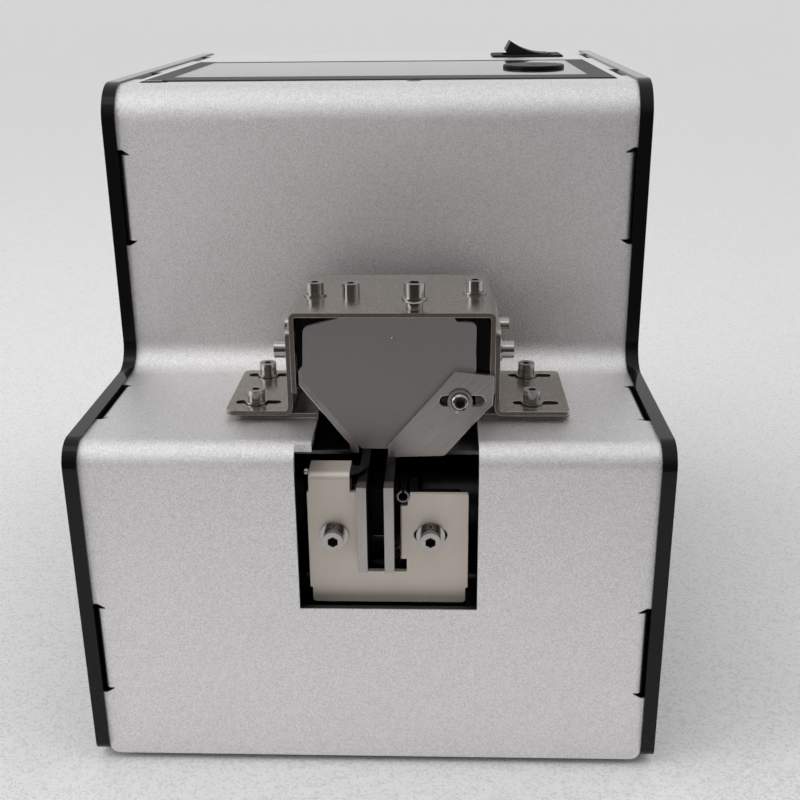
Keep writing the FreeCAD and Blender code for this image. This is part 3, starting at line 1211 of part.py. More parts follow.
def make_brush_link():
    """Wire link: an eye round the arm's pin and an upright that ends beside the brush lever."""
    eye_at = Vector(LINK_X - LINK_DIA / 2, LINK_Y, SCOOP_Z)
    eye = rod(4.4, eye_at, RIGHT, LINK_DIA)
    upright = rod(LINK_DIA, Vector(LINK_X, LINK_Y, SCOOP_Z), UP, BRUSH_SHAFT_Z - SCOOP_Z)
    top = rod(LINK_DIA + 1.6, Vector(LINK_X, LINK_Y, BRUSH_SHAFT_Z), UP, 1.5)
    return eye.fuse([upright, top]).cut(rod(1.6 + 2 * RUNNING_FIT, eye_at, RIGHT, LINK_DIA))


# ------------------------------------------------------------------ lid
LID_Z0 = RIM_Z + LID_LIFT
LID_Z1 = LID_Z0 + LID_T
LID_EDGE = LID_T / 2
HINGE_AXIS = Vector(-LID_X + LID_EDGE, LID_Y0, LID_Z0 + LID_EDGE)
PANE_LIP = 1.5
PANE_X = LID_X - LID_BORDER
PANE_Y0 = LID_Y0 + LID_BORDER_FRONT
PANE_Y1 = LID_Y1 - LID_BORDER_BACK
KNOB_AT = Vector(LID_X - KNOB_INSET, (LID_Y0 + LID_Y1) / 2 + 1.0, LID_Z1)
PIN_BITE = 5.0


def make_lid_frame():
    pairs = [(-LID_X, LID_Z0), (LID_X, LID_Z0), (LID_X, LID_Z1), (-LID_X, LID_Z1)]
    round_edge = LID_EDGE - 0.01
    frame = front_shape(pairs, LID_Y0, LID_Y1, [round_edge, 0.4, 0.4, round_edge])
    seat_z = LID_Z1 - LID_PANE_T
    frame = frame.cut(box(-PANE_X, PANE_X, PANE_Y0, PANE_Y1, seat_z, LID_Z1 + 1))
    frame = frame.cut(box(-PANE_X + PANE_LIP, PANE_X - PANE_LIP, PANE_Y0 + PANE_LIP, PANE_Y1 - PANE_LIP,
                          LID_Z0 - 1, LID_Z1))
    bore = HINGE_PIN_DIA + 2 * RUNNING_FIT
    for y in (LID_Y0, LID_Y1 - PIN_BITE - LID_GAP):
        frame = frame.cut(rod(bore, hinge_point(y), BACKWARD, PIN_BITE + LID_GAP))
    return frame


def make_lid_pane():
    pane = box(-PANE_X, PANE_X, PANE_Y0, PANE_Y1, LID_Z1 - LID_PANE_T, LID_Z1)
    return pane.cut(rod(M3_HOLE, Vector(KNOB_AT.x, KNOB_AT.y, LID_Z0), UP, LID_T))


def make_knob():
    """Knob with its screw and nut."""
    knob = rod(KNOB_DIA, KNOB_AT, UP, KNOB_H)
    rim = [edge for edge in knob.Edges if edge.Closed and edge.CenterOfMass.z > LID_Z1 + KNOB_H / 2]
    knob = knob.makeFillet(KNOB_H * 0.4, rim[:1])
    top = KNOB_AT + UP * KNOB_H
    knob = knob.cut(flush_seat(top, UP, KNOB_H, M2_DIA, TOP_SCREW_HEAD, TOP_SCREW_HEAD_H))
    screw = flush_screw(top, UP, KNOB_H + LID_PANE_T + 1.0, M2_DIA, TOP_SCREW_HEAD, TOP_SCREW_HEAD_H)
    nut = hex_nut(KNOB_AT - UP * LID_PANE_T, DOWN, M2_HOLE, 4.0, 0.8)
    return group(knob, screw, nut)


def hinge_ear_ranges():
    front, back = LID_Y0 - LID_GAP, LID_Y1 + LID_GAP
    return [(front - HINGE_EAR_T, front), (back, back + HINGE_EAR_T)]


def make_lid_hinges():
    """Ears on the bin's rim and the pins riveted in them."""
    ears = []
    tip = HINGE_EAR_L - LID_X
    for y0, y1 in hinge_ear_ranges():
        pairs = [(-LID_X, RIM_Z), (tip, RIM_Z), (tip - 1.0, LID_Z1), (-LID_X, LID_Z1)]
        ear = front_shape(pairs, y0, y1, [0, 0, 0.5, LID_EDGE - 0.1])
        ears.append(ear.cut(rod(HINGE_PIN_DIA, hinge_point(y0), BACKWARD, HINGE_EAR_T)))
    return group(*ears, *hinge_pins())


def hinge_point(y):
    return Vector(HINGE_AXIS.x, y, HINGE_AXIS.z)


def hinge_pins():
    (front0, front1), (back0, back1) = hinge_ear_ranges()
    front = rod(HINGE_PIN_DIA, hinge_point(front0), BACKWARD, front1 - front0 + PIN_BITE)
    back = rod(HINGE_PIN_DIA, hinge_point(back1), AHEAD, back1 - back0 + PIN_BITE)
    return [front, back]


# ------------------------------------------------------------------ rocker switch
SWITCH_AT = Vector(SWITCH_X, FRONT + SWITCH_Y, TOP_Z)
ROCKER_PIVOT = SWITCH_AT + UP * (SWITCH_FLANGE_T - PIVOT_DEPTH)
WELL_X = ROCKER_LENGTH / 2 + 0.55
WELL_Y = ROCKER_WIDTH / 2 + 0.3
WELL_DEPTH = 4.6
TRUNNION = 1.0


def centred_box(at, half_x, half_y, z0, z1):
    return box(at.x - half_x, at.x + half_x, at.y - half_y, at.y + half_y, at.z + z0, at.z + z1)


def make_switch_body():
    corners = [(sx * SWITCH_LENGTH / 2 + SWITCH_AT.x, sy * SWITCH_WIDTH / 2 + SWITCH_AT.y)
               for sx, sy in ((-1, -1), (1, -1), (1, 1), (-1, 1))]
    flange = plan_shape(corners, TOP_Z, TOP_Z + SWITCH_FLANGE_T, [1.2] * 4)
    rim = [edge for edge in flange.Edges if edge.BoundBox.ZMin > TOP_Z + SWITCH_FLANGE_T - 0.01]
    flange = flange.makeFillet(0.5, rim)
    body = centred_box(SWITCH_AT, SWITCH_LENGTH / 2 - 1, SWITCH_WIDTH / 2 - 1, -SWITCH_BODY_H, 0.01)
    body = body.fuse(flange)
    for dx in (-6.0, 0.0, 6.0):
        lug = SWITCH_AT + RIGHT * dx
        body = body.fuse(centred_box(lug, 0.4, 2.4, -SWITCH_BODY_H - 7, -SWITCH_BODY_H))
    body = body.cut(centred_box(ROCKER_PIVOT, WELL_X, WELL_Y, -WELL_DEPTH, 5))
    bore = TRUNNION + 2 * RUNNING_FIT
    reach = WELL_Y + 0.8
    return body.cut(rod(bore, ROCKER_PIVOT + AHEAD * reach, BACKWARD, 2 * reach))


def make_rocker():
    """Drawn level, then tipped with its left end up."""
    half = ROCKER_LENGTH / 2
    at = ROCKER_PIVOT
    crest = half - 0.6
    pairs = [
        (-half, -0.2), (-half + 4, -3.0), (half - 4, -3.0), (half, -0.2), (crest, ROCKER_CREST),
        (0, 1.0), (-crest, ROCKER_CREST),
    ]
    pairs = [(at.x + x, at.z + z) for x, z in pairs]
    y0, y1 = at.y - ROCKER_WIDTH / 2, at.y + ROCKER_WIDTH / 2
    rocker = front_shape(pairs, y0, y1, [0.5, 2, 2, 0.5, 0.3, 18, 0.3])
    reach = WELL_Y + 0.6
    rocker = rocker.fuse(rod(TRUNNION, at + AHEAD * reach, BACKWARD, 2 * reach))
    rocker.rotate(at, Vector(0, 1, 0), ROCKER_THROW / 2)
    return rocker


# ------------------------------------------------------------------ DC jack
JACK_AT = Vector(JACK_X, BACK, JACK_Z)


def make_jack():
    """Panel jack with its nut."""
    inside = JACK_AT - BACKWARD * COVER_T
    barrel = rod(JACK_THREAD, inside, BACKWARD, COVER_T + JACK_PROUD)
    body = rod(JACK_THREAD + 3, inside, AHEAD, JACK_LENGTH - COVER_T - JACK_PROUD)
    jack = barrel.fuse(body)
    mouth = JACK_AT + BACKWARD * JACK_PROUD
    bore_depth = 9.5
    jack = jack.cut(rod(JACK_BORE, mouth, AHEAD, bore_depth))
    pin = rod(JACK_PIN, mouth + AHEAD * (bore_depth + 0.5), BACKWARD, bore_depth - 0.5)
    jack = jack.fuse(pin)
    end = inside + AHEAD * (JACK_LENGTH - COVER_T - JACK_PROUD)
    for dx in (-3.0, 3.0):
        lug = box(end.x + dx - 1.2, end.x + dx + 1.2, end.y - 5, end.y + 0.5, end.z - 0.4, end.z + 0.4)
        jack = jack.fuse(lug)
    return group(jack, hex_nut(JACK_AT, BACKWARD, JACK_THREAD + 0.1, 14.0, 2.0))


# ------------------------------------------------------------------ control board
BOARD_Z = BASE_TOP + STANDOFF_H


def board_corners():
    return [(x, y) for x in (BOARD_X0 + 3.5, BOARD_X1 - 3.5)
            for y in (FRONT + BOARD_Y0 + 3.5, FRONT + BOARD_Y1 - 3.5)]


def make_board():
    board = box(BOARD_X0, BOARD_X1, FRONT + BOARD_Y0, FRONT + BOARD_Y1, BOARD_Z, BOARD_Z + BOARD_T)
    for x, y in board_corners():
        board = board.cut(rod(M3_HOLE, Vector(x, y, BOARD_Z), UP, BOARD_T))
    return board


def make_board_parts():
    """What stands on the board: capacitors, driver chips, connectors and a trimmer."""
    mid = (BOARD_X0 + BOARD_X1) / 2
    top = BOARD_Z + BOARD_T
    y0 = FRONT + BOARD_Y0
    solids = [rod(8.0, Vector(mid - 2, y0 + 14, top), UP, 12.0)]
    solids.append(rod(6.3, Vector(mid + 3.5, y0 + 22, top), UP, 11.0))
    for y in (30, 40):
        solids.append(box(mid - 3, mid + 3, y0 + y, y0 + y + 7, top, top + 1.8))
    for y in (50, 61):
        solids.append(box(mid - 6, mid, y0 + y, y0 + y + 9, top, top + 7))
    solids.append(box(mid + 2, mid + 7, y0 + 52, y0 + 58, top, top + 5))
    return group(*solids)


def make_board_fixings():
    """Standoffs and the screws into them."""
    posts = []
    for x, y in board_corners():
        post = rod(STANDOFF_DIA, Vector(x, y, BASE_TOP), UP, STANDOFF_H)
        posts.append(post.cut(rod(M3_DIA - 0.5, Vector(x, y, BASE_TOP + 1), UP, STANDOFF_H)))
    screws = [pan_screw(Vector(x, y, BOARD_Z + BOARD_T), UP, BOARD_T + 4, dia=2.5, head=5.0, head_h=1.8)
              for x, y in board_corners()]
    return group(*posts, *screws)


# ------------------------------------------------------------------ sensors
def make_sensors():
    return group(sensor(-1), sensor(1))


def sensor(side):
    """Optical head whose lens looks across the rails."""
    face = RAIL_X + side * (RAIL_OUT + SENSOR_GAP)
    x0, x1 = sorted((face, face + side * SENSOR_SIZE))
    y = FRONT + SENSOR_Y
    half = SENSOR_SIZE / 2
    head = box(x0, x1, y - half, y + half, CHASSIS_TOP + SHEET_T, SENSOR_TOP)
    lens = rod(3.0, Vector(face + side * 0.5, y, SENSOR_TOP - half + 0.4), Vector(-side, 0, 0), 1.3)
    return head.fuse(lens)


def make_sensor_brackets():
    """Shelves on the chassis plates' top edges that carry the optical heads."""
    shelves = []
    y = FRONT + SENSOR_Y
    for side, outer in ((-1, CHASSIS_LEFT), (1, CHASSIS_RIGHT)):
        near = RAIL_X + side * (RAIL_OUT + SENSOR_GAP + 0.6)
        x0, x1 = sorted((near, outer + side * SHEET_T))
        shelf = box(x0, x1, y - 4.5, y + 4.5, CHASSIS_TOP, CHASSIS_TOP + SHEET_T)
        w0, w1 = sorted((outer, outer + side * SHEET_T))
        shelves.append(shelf.fuse(box(w0, w1, y - 4.5, y + 4.5, CHASSIS_TOP - 9, CHASSIS_TOP + SHEET_T)))
    return group(*[shelf.removeSplitter() for shelf in shelves])


# ------------------------------------------------------------------ bracket on the ledge
UNDER_Z1 = LEDGE_Z + SHEET_T
FOOT_Z0 = UNDER_Z1 + BRACKET_PLAY
FOOT_Z1 = FOOT_Z0 + SHEET_T
SEAT_Z = FOOT_Z1 + BRACKET_PLAY
ANGLE_X = BRACKET_SPAN / 2
BRIDGE_X = ANGLE_X - SHEET_T - BRACKET_PLAY
SLOT_W = M2_DIA + 0.3


def of_side(side, left_and_right):
    return left_and_right[0 if side < 0 else 1]


def foot_slot_x(side):
    return BRACKET_X + side * (ANGLE_X + of_side(side, ANGLE_SLOT_X))


def foot_screw_points():
    points = []
    for side in (-1, 1):
        x = foot_slot_x(side) + of_side(side, FOOT_SCREW_SHIFT)
        points += [Vector(x, FRONT + y, SEAT_Z) for y in BRACKET_SCREW_Y]
    return points


def make_under_plate():
    y0, y1 = FRONT + UNDER_Y0, FRONT + UNDER_Y1
    pairs = [(UNDER_X0, y0), (UNDER_X1, y0), (UNDER_X1, y1), (UNDER_X0, y1)]
    plate = plan_shape(pairs, LEDGE_Z, UNDER_Z1, [UNDER_CORNER] * 4)
    plate = plate.cut(box(SLOT_X0, WINDOW_X1, y0 - 1, FRONT + SLOT_DEPTH, LEDGE_Z, UNDER_Z1))
    for point in foot_screw_points():
        plate = plate.cut(rod(M2_HOLE, Vector(point.x, point.y, LEDGE_Z), UP, SHEET_T))
    return plate


def make_angle_bracket(side):
    outer = BRACKET_X + side * ANGLE_X
    tip = outer + side * of_side(side, ANGLE_FOOT)
    inner = outer - side * SHEET_T
    pairs = [
        (inner, FOOT_Z0), (tip, FOOT_Z0), (tip, FOOT_Z1), (outer, FOOT_Z1),
        (outer, ANGLE_TOP), (inner, ANGLE_TOP),
    ]
    radii = [ANGLE_BEND, 0, 0, ANGLE_BEND - SHEET_T, 0, 0]
    y0, y1 = FRONT + ANGLE_Y0, FRONT + ANGLE_Y1
    angle = front_shape(pairs, y0, y1, radii)
    corners = [edge for edge in angle.Edges
               if abs(edge.BoundBox.ZLength - SHEET_T) < 1e-6 and abs(edge.BoundBox.XMin - tip) < 1e-6
               and edge.BoundBox.YLength < 1e-6]
    corners += [edge for edge in angle.Edges
                if abs(edge.BoundBox.XLength - SHEET_T) < 1e-6 and abs(edge.BoundBox.ZMin - ANGLE_TOP) < 1e-6
                and edge.BoundBox.YLength < 1e-6]
    angle = angle.makeFillet(1.5, corners)
    middle = BRIDGE_SCREW_Z + (BRIDGE_UP - BRIDGE_DOWN) / 2
    travel = BRIDGE_UP + BRIDGE_DOWN + 0.6
    for y in BRACKET_SCREW_Y:
        low = Vector(foot_slot_x(side), FRONT + y, FOOT_Z0 - 0.5)
        angle = angle.cut(slot_hole(low, UP, RIGHT, SLOT_W, FOOT_SLOT_LENGTH, SHEET_T + 1))
        high = Vector(inner - side * 0.5, FRONT + y, middle)
        angle = angle.cut(slot_hole(high, Vector(side, 0, 0), UP, SLOT_W, SLOT_W + travel, SHEET_T + 1))
    return angle


def bracket_fasteners(seat, axis, reach):
    on_flat = seat + axis * M2_WASHER_T
    screw = socket_screw(on_flat + axis * SPRING_WASHER_T, axis, reach)
    return [washer(seat, axis), spring_washer(on_flat, axis), screw]


def make_cap_screws():
    """Fixed cap screws with washers: through the bracket's feet and the front guide plate."""
    solids = guide_screws()
    for point in foot_screw_points():
        solids += bracket_fasteners(point, UP, M2_WASHER_T + SPRING_WASHER_T + 2 * SHEET_T + COVER_T + 2)
    return group(*solids)


def make_bridge():
    x0, x1 = BRACKET_X - BRIDGE_X, BRACKET_X + BRIDGE_X
    t = SHEET_T
    pairs = [
        (x0, BRIDGE_SIDE_Z), (x0, BRIDGE_TOP), (x1, BRIDGE_TOP), (x1, BRIDGE_SIDE_Z), (x1 - t, BRIDGE_SIDE_Z),
        (x1 - t, BRIDGE_TOP - t), (x0 + t, BRIDGE_TOP - t), (x0 + t, BRIDGE_SIDE_Z),
    ]
    inner = BRIDGE_BEND - t
    bridge = front_shape(pairs, FRONT + BRIDGE_Y0, FRONT + BRIDGE_Y1,
                         [0, BRIDGE_BEND, BRIDGE_BEND, 0, 0, inner, inner, 0])
    for at, _ in bridge_top_points():
        bridge = bridge.cut(rod(M2_HOLE, Vector(at.x, at.y, BRIDGE_TOP - t), UP, t))
    for y in BRACKET_SCREW_Y:
        bridge = bridge.cut(rod(M2_DIA, Vector(x0 - 1, FRONT + y, BRIDGE_SCREW_Z), RIGHT, x1 - x0 + 2))
    return bridge


def bridge_top_points():
    """Each top fastener: its place on the bridge and its kind."""
    return [
        (Vector(-12.2, FRONT + 27.7, BRIDGE_TOP), "washers"),
        (Vector(-4.6, FRONT + 28.8, BRIDGE_TOP), "plain"),
        (Vector(9.3, FRONT + 17.2, BRIDGE_TOP), "collar"),
        (Vector(22.0, FRONT + 29.5, BRIDGE_TOP), "washers"),
    ]


def bridge_top_screws():
    solids = []
    depth = SHEET_T + 5
    for at, kind in bridge_top_points():
        if kind == "washers":
            solids += bracket_fasteners(at, UP, depth + M2_WASHER_T)
        elif kind == "plain":
            solids.append(socket_screw(at, UP, depth, head_h=PLAIN_HEAD_H))
        else:
            on_collar = at + UP * COLLAR_H
            on_flange = on_collar + UP * FLANGE_T
            solids.append(washer(at, UP, COLLAR_DIA, M2_HOLE, COLLAR_H))
            solids.append(washer(on_collar, UP, FLANGE_DIA, M2_HOLE, FLANGE_T))
            solids.append(socket_screw(on_flange, UP, depth + COLLAR_H + FLANGE_T, M2_DIA,
                                       GUIDE_SCREW_HEAD, COLLAR_HEAD_H, GUIDE_SCREW_HEX))
    return solids


def bridge_side_bolts():
    solids = []
    reach = M2_WASHER_T + SPRING_WASHER_T + 2 * SHEET_T + 1.0
    for side in (-1, 1):
        for y in BRACKET_SCREW_Y:
            seat = Vector(BRACKET_X + side * (ANGLE_X + BRACKET_PLAY), FRONT + y, BRIDGE_SCREW_Z)
            solids += bracket_fasteners(seat, Vector(side, 0, 0), reach)
    return solids


SHIELD_Y0 = FRONT + BRIDGE_Y0
SHIELD_Y1 = SHIELD_Y0 + SHIELD_T
SHIELD_TOP = BRIDGE_TOP - SHEET_T
WING_Y1 = SHIELD_Y0 - BRACKET_PLAY
WING_Y0 = WING_Y1 - SHEET_T


def make_shield():
    left = BRACKET_X - BRIDGE_X + SHEET_T + SHIELD_SIDE_GAP
    tip_x0, tip_x1 = SHIELD_TIP_X
    corner_z = BRIDGE_TOP - SHIELD_DROP
    pairs = [
        (tip_x0, SHIELD_BOTTOM), (tip_x1, SHIELD_BOTTOM), (SHIELD_X1 - 0.2, SHIELD_ARM_Z - 0.3),
        (SHIELD_X1, corner_z + 1.0), (SHIELD_X1 - 4.0, corner_z + 1.2), (SHIELD_X1 - 4.6, SHIELD_TOP),
        (left + 8.2, SHIELD_TOP), (left + 0.5, corner_z), (left, SHIELD_ARM_Z + 0.3),
    ]
    shield = front_shape(pairs, SHIELD_Y0, SHIELD_Y1, [0.6, 0.6, 1.5, 1.3, 0.3, 0.3, 3, 1.5, 1.5])
    x, z = LEFT_WING_SCREW
    shield = shield.cut(rod(M2_DIA, Vector(x, SHIELD_Y0 + 0.2, z), BACKWARD, SHIELD_T))
    return shield.cut(rod(M2_DIA, Vector(WING_SCREW_X, SHIELD_Y0, WING_SCREW_Z), BACKWARD, SHIELD_T))


def make_right_wing():
    """Brushed guide sheet in front of the shield; it slides along its slot."""
    left, right = SHIELD_TIP_X[1] + 0.1, WING_SLOT_X + 6.5
    pairs = [
        (left, WING_BOTTOM), (right - 10.1, WING_BOTTOM + 0.4), (right - 1.3, WING_TOP - 8.4),
        (right - 0.1, WING_TOP - 7.3), (right, WING_TOP - 0.9), (right - 8.1, WING_TOP),
        (left, WING_BOTTOM + 2.9),
    ]
    wing = front_shape(pairs, WING_Y0, WING_Y1, [0.3, 1.0, 0.6, 0.6, 0.8, 0.5, 0.5])
    at = Vector(WING_SLOT_X, WING_Y0 - 0.5, WING_SCREW_Z)
    return wing.cut(slot_hole(at, BACKWARD, RIGHT, SLOT_W, WING_SLOT_LENGTH, SHEET_T + 1))


LEFT_WING_SCREW = (-8.5, SHIELD_ARM_Z)


def make_left_wing():
    """Twin of the right guide sheet, behind the shield's left edge."""
    right, left = SHIELD_TIP_X[0] - 0.7, BRACKET_X - BRIDGE_X + SHEET_T + SHIELD_SIDE_GAP - 1.0
    top = WING_TOP + 0.3
    pairs = [
        (right, WING_BOTTOM - 0.1), (right, WING_BOTTOM + 5.0), (right - 1.0, top), (left + 0.7, top),
        (left, top - 1.0), (left, top - 4.1), (right - 2.0, WING_BOTTOM + 1.9),
        (right - 1.8, WING_BOTTOM - 0.1),
    ]
    wing = front_shape(pairs, SHIELD_Y1, SHIELD_Y1 + SHEET_T, [0.2, 0.5, 0.5, 0.5, 0.5, 0.8, 0.5, 0.2])
    x, z = LEFT_WING_SCREW
    return wing.cut(rod(M2_HOLE, Vector(x, SHIELD_Y1, z), BACKWARD, SHEET_T))


def wing_screws():
    front = Vector(WING_SCREW_X, WING_Y0 - BRACKET_PLAY, WING_SCREW_Z)
    solids = [washer(front, AHEAD, outer=BUTTON_WASHER)]
    solids.append(button_screw(front + AHEAD * M2_WASHER_T, AHEAD, 5.2))
    x, z = LEFT_WING_SCREW
    rear = Vector(x, SHIELD_Y1 + SHEET_T, z)
    solids.append(socket_screw(rear, BACKWARD, SHEET_T + SHIELD_T - 0.2))
    return solids


def make_bridge_screws():
    """Every cap screw and washer that rises and falls with the bridge."""
    return group(*bridge_top_screws(), *bridge_side_bolts(), *wing_screws())


def make_hanger_block():
    """Block under the bridge that the shield is fixed to."""
    z1 = BRIDGE_TOP - SHEET_T
    block = box(HANGER_X0, HANGER_X1, SHIELD_Y1, FRONT + HANGER_Y1, HANGER_Z0, z1)
    for x0, x1, setback in HANGER_LEGS:
        y0, y1 = SHIELD_Y1 + setback, FRONT + HANGER_LEG_Y1
        block = block.fuse(box(x0, x1, y0, y1, HANGER_LEG_Z0, HANGER_LEG_Z1))
    for at, _ in bridge_top_points():
        block = block.cut(rod(M2_DIA, Vector(at.x, at.y, z1), DOWN, 7))
    return block.removeSplitter()


# ------------------------------------------------------------------ all nodes
keep("cover_shell", make_cover())
keep("side_panel_left", make_side_panel(True))
keep("side_panel_right", make_side_panel(False))
keep("cover_screws", make_cover_screws())
keep("base_plate", make_base())
keep("rubber_mounts", make_rubber_mounts())
keep("chassis_plate_left", make_chassis_plate(-1))
keep("chassis_plate_right", make_chassis_plate(1))
keep("chassis_screws", make_chassis_screws())
keep("front_bar", make_front_bar())
keep("front_guide_plate", make_guide_plate())
keep("guide_blocks", make_guide_blocks())
keep("roll_pin", make_roll_pin())
keep("retainer_leaf", make_retainer_leaf())
keep("rail_left", make_rail(-1))
keep("rail_right", make_rail(1))
keep("rail_carrier", make_carrier())
keep("rail_screws", make_rail_screws())
keep("leaf_springs", make_leaf_springs())
keep("vibrator_base", make_vibro_base())
keep("magnet_core", make_magnet_core())
keep("magnet_coil", make_magnet_coil())
keep("armature", make_armature())
keep("scoop_blades", make_scoop_blades())
keep("scoop_shaft", make_scoop_shaft())
keep("scoop_lever", make_lever())
keep("bearing_bushes", make_bearing_bushes())
keep("gear_motor", make_motor())
keep("motor_shaft", make_motor_shaft())
keep("crank_disc", make_crank_disc())
keep("connecting_rod", make_rod())
keep("hopper_bin", make_bin())
keep("brush_shaft", make_brush_shaft())
keep("brush_holder", make_brush_holder())
keep("brush_bristles", make_brush_bristles())
keep("link_arm", make_link_arm())
keep("brush_link", make_brush_link())
keep("hopper_lid_frame", make_lid_frame())
keep("hopper_lid_pane", make_lid_pane())
keep("lid_knob", make_knob())
keep("lid_hinges", make_lid_hinges())
keep("switch_body", make_switch_body())
keep("power_rocker", make_rocker())
keep("dc_jack", make_jack())
keep("control_board", make_board())
keep("board_parts", make_board_parts())
keep("board_fixings", make_board_fixings())
keep("rail_sensors", make_sensors())
keep("sensor_brackets", make_sensor_brackets())
keep("bracket_under_plate", make_under_plate())
keep("angle_bracket_left", make_angle_bracket(-1))
keep("angle_bracket_right", make_angle_bracket(1))
keep("cap_screws", make_cap_screws())
keep("bridge", make_bridge())
keep("bridge_screws", make_bridge_screws())
keep("hanger_block", make_hanger_block())
keep("shield_plate", make_shield())
keep("guide_wing_right", make_right_wing())
keep("guide_wing_left", make_left_wing())
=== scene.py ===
import json
import math

import bmesh
import bpy
from mathutils import Matrix, Vector


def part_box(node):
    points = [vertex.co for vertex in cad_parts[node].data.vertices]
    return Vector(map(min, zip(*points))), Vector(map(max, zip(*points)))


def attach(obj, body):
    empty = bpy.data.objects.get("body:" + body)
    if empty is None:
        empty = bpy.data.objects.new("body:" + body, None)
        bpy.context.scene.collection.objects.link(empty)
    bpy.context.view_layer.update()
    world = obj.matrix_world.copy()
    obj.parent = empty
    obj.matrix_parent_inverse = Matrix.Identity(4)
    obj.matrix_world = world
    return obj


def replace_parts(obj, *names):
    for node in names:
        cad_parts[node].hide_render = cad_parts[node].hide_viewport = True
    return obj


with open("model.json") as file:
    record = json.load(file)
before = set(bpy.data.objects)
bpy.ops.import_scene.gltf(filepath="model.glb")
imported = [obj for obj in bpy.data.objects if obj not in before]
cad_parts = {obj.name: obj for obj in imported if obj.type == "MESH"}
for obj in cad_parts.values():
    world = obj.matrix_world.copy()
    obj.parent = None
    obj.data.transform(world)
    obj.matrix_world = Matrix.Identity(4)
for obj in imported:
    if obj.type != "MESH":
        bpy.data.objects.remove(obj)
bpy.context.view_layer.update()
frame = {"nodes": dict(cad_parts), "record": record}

MM = 0.001
SLOT_OF = {part["node"]: part["material_slot"] for part in frame["record"]["subparts"]}
BODY_OF = {node: body for body, nodes in frame["record"]["behaviour"]["bodies"].items() for node in nodes}

# The outside of the cover's front wall, the height at which it bends, and the ledge that it bends into.
WALL_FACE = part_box("cover_shell")[0][1]
WALL_BEND = 69.5 * MM
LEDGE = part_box("bracket_under_plate")[0][2]
RAIL_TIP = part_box("rail_left")[0][1]
GUIDE_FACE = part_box("front_guide_plate")[0][1]
SHIELD_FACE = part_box("shield_plate")[0][1]


# ------------------------------------------------------------------ shader tools
class Shader:
    """A node tree being laid out, for a material, a world or a shared effect."""

    def __init__(self, tree):
        self.tree = tree

    def add(self, kind, **settings):
        node = self.tree.nodes.new("ShaderNode" + kind)
        for name, value in settings.items():
            setattr(node, name, value)
        return node

    def feed(self, source, target):
        if isinstance(source, bpy.types.NodeSocket):
            self.tree.links.new(source, target)
        else:
            target.default_value = source

    def math(self, operation, *values):
        node = self.add("Math", operation=operation)
        for slot, value in zip(node.inputs, values):
            self.feed(value, slot)
        return node.outputs[0]

    def blend(self, share, first, second):
        node = self.add("Mix", data_type="RGBA")
        self.feed(share, node.inputs["Factor"])
        self.feed(first, node.inputs["A"])
        self.feed(second, node.inputs["B"])
        return node.outputs["Result"]

    def span(self, value, low, high, to_low=0.0, to_high=1.0):
        node = self.add("MapRange")
        for slot, number in zip(node.inputs, (value, low, high, to_low, to_high)):
            self.feed(number, slot)
        return node.outputs["Result"]

    def place(self, stretch):
        """Object coordinates, stretched by a Mapping node."""
        mapping = self.add("Mapping")
        self.feed(self.add("TexCoord").outputs["Object"], mapping.inputs["Vector"])
        self.feed(stretch, mapping.inputs["Scale"])
        return mapping.outputs[0]

    def along(self, axis, start, end):
        """0 before start and 1 after end, along one of the object's axes."""
        parts = self.add("SeparateXYZ")
        self.feed(self.add("TexCoord").outputs["Object"], parts.inputs[0])
        return self.span(parts.outputs[axis], start, end)

    def until(self, axis, start, end):
        """1 before start and 0 after end, along one of the object's axes."""
        return self.math("SUBTRACT", 1.0, self.along(axis, start, end))

    def where_all(self, first, *others):
        """1 only where every mask is 1."""
        for other in others:
            first = self.math("MULTIPLY", first, other)
        return first

    def noise(self, vector, detail, rough):
        node = self.add("TexNoise")
        self.feed(vector, node.inputs["Vector"])
        node.inputs["Scale"].default_value = 1.0
        node.inputs["Detail"].default_value = detail
        node.inputs["Roughness"].default_value = rough
        return node.outputs["Fac"]


def effect(name, inputs, outputs):
    """An empty node group with named sockets: its Shader, input sockets and output node."""
    tree = bpy.data.node_groups.new(name, "ShaderNodeTree")
    for label, kind, value in inputs:
        slot = tree.interface.new_socket(label, in_out="INPUT", socket_type="NodeSocket" + kind)
        slot.default_value = value
    for label in outputs:
        tree.interface.new_socket(label, in_out="OUTPUT", socket_type="NodeSocketFloat")
    start = tree.nodes.new("NodeGroupInput")
    end = tree.nodes.new("NodeGroupOutput")
    return Shader(tree), start.outputs, end.inputs


def make_blast_grain():
    """Bead-blasted metal: fine pits, with some crystals that catch the light. Pits is pits per metre."""
    shader, given, out = effect(
        "blast_grain", [("Pits", "Vector", (1, 1, 1)), ("Glint", "Float", 0.2)], ["Shade", "Height"])
    spot = shader.place(given["Pits"])
    pits = shader.noise(spot, detail=3.0, rough=0.7)
    cells = shader.add("TexVoronoi")
    shader.feed(spot, cells.inputs["Vector"])
    cells.inputs["Scale"].default_value = 1.3
    crystal = shader.add("SeparateColor")
    shader.feed(cells.outputs["Color"], crystal.inputs[0])
    spark = shader.span(crystal.outputs[0], 0.0, 1.0, -1.0, 1.0)
    shader.feed(shader.math("MULTIPLY_ADD", spark, given["Glint"], 1.0), out["Shade"])
    shader.feed(pits, out["Height"])
    return shader.tree


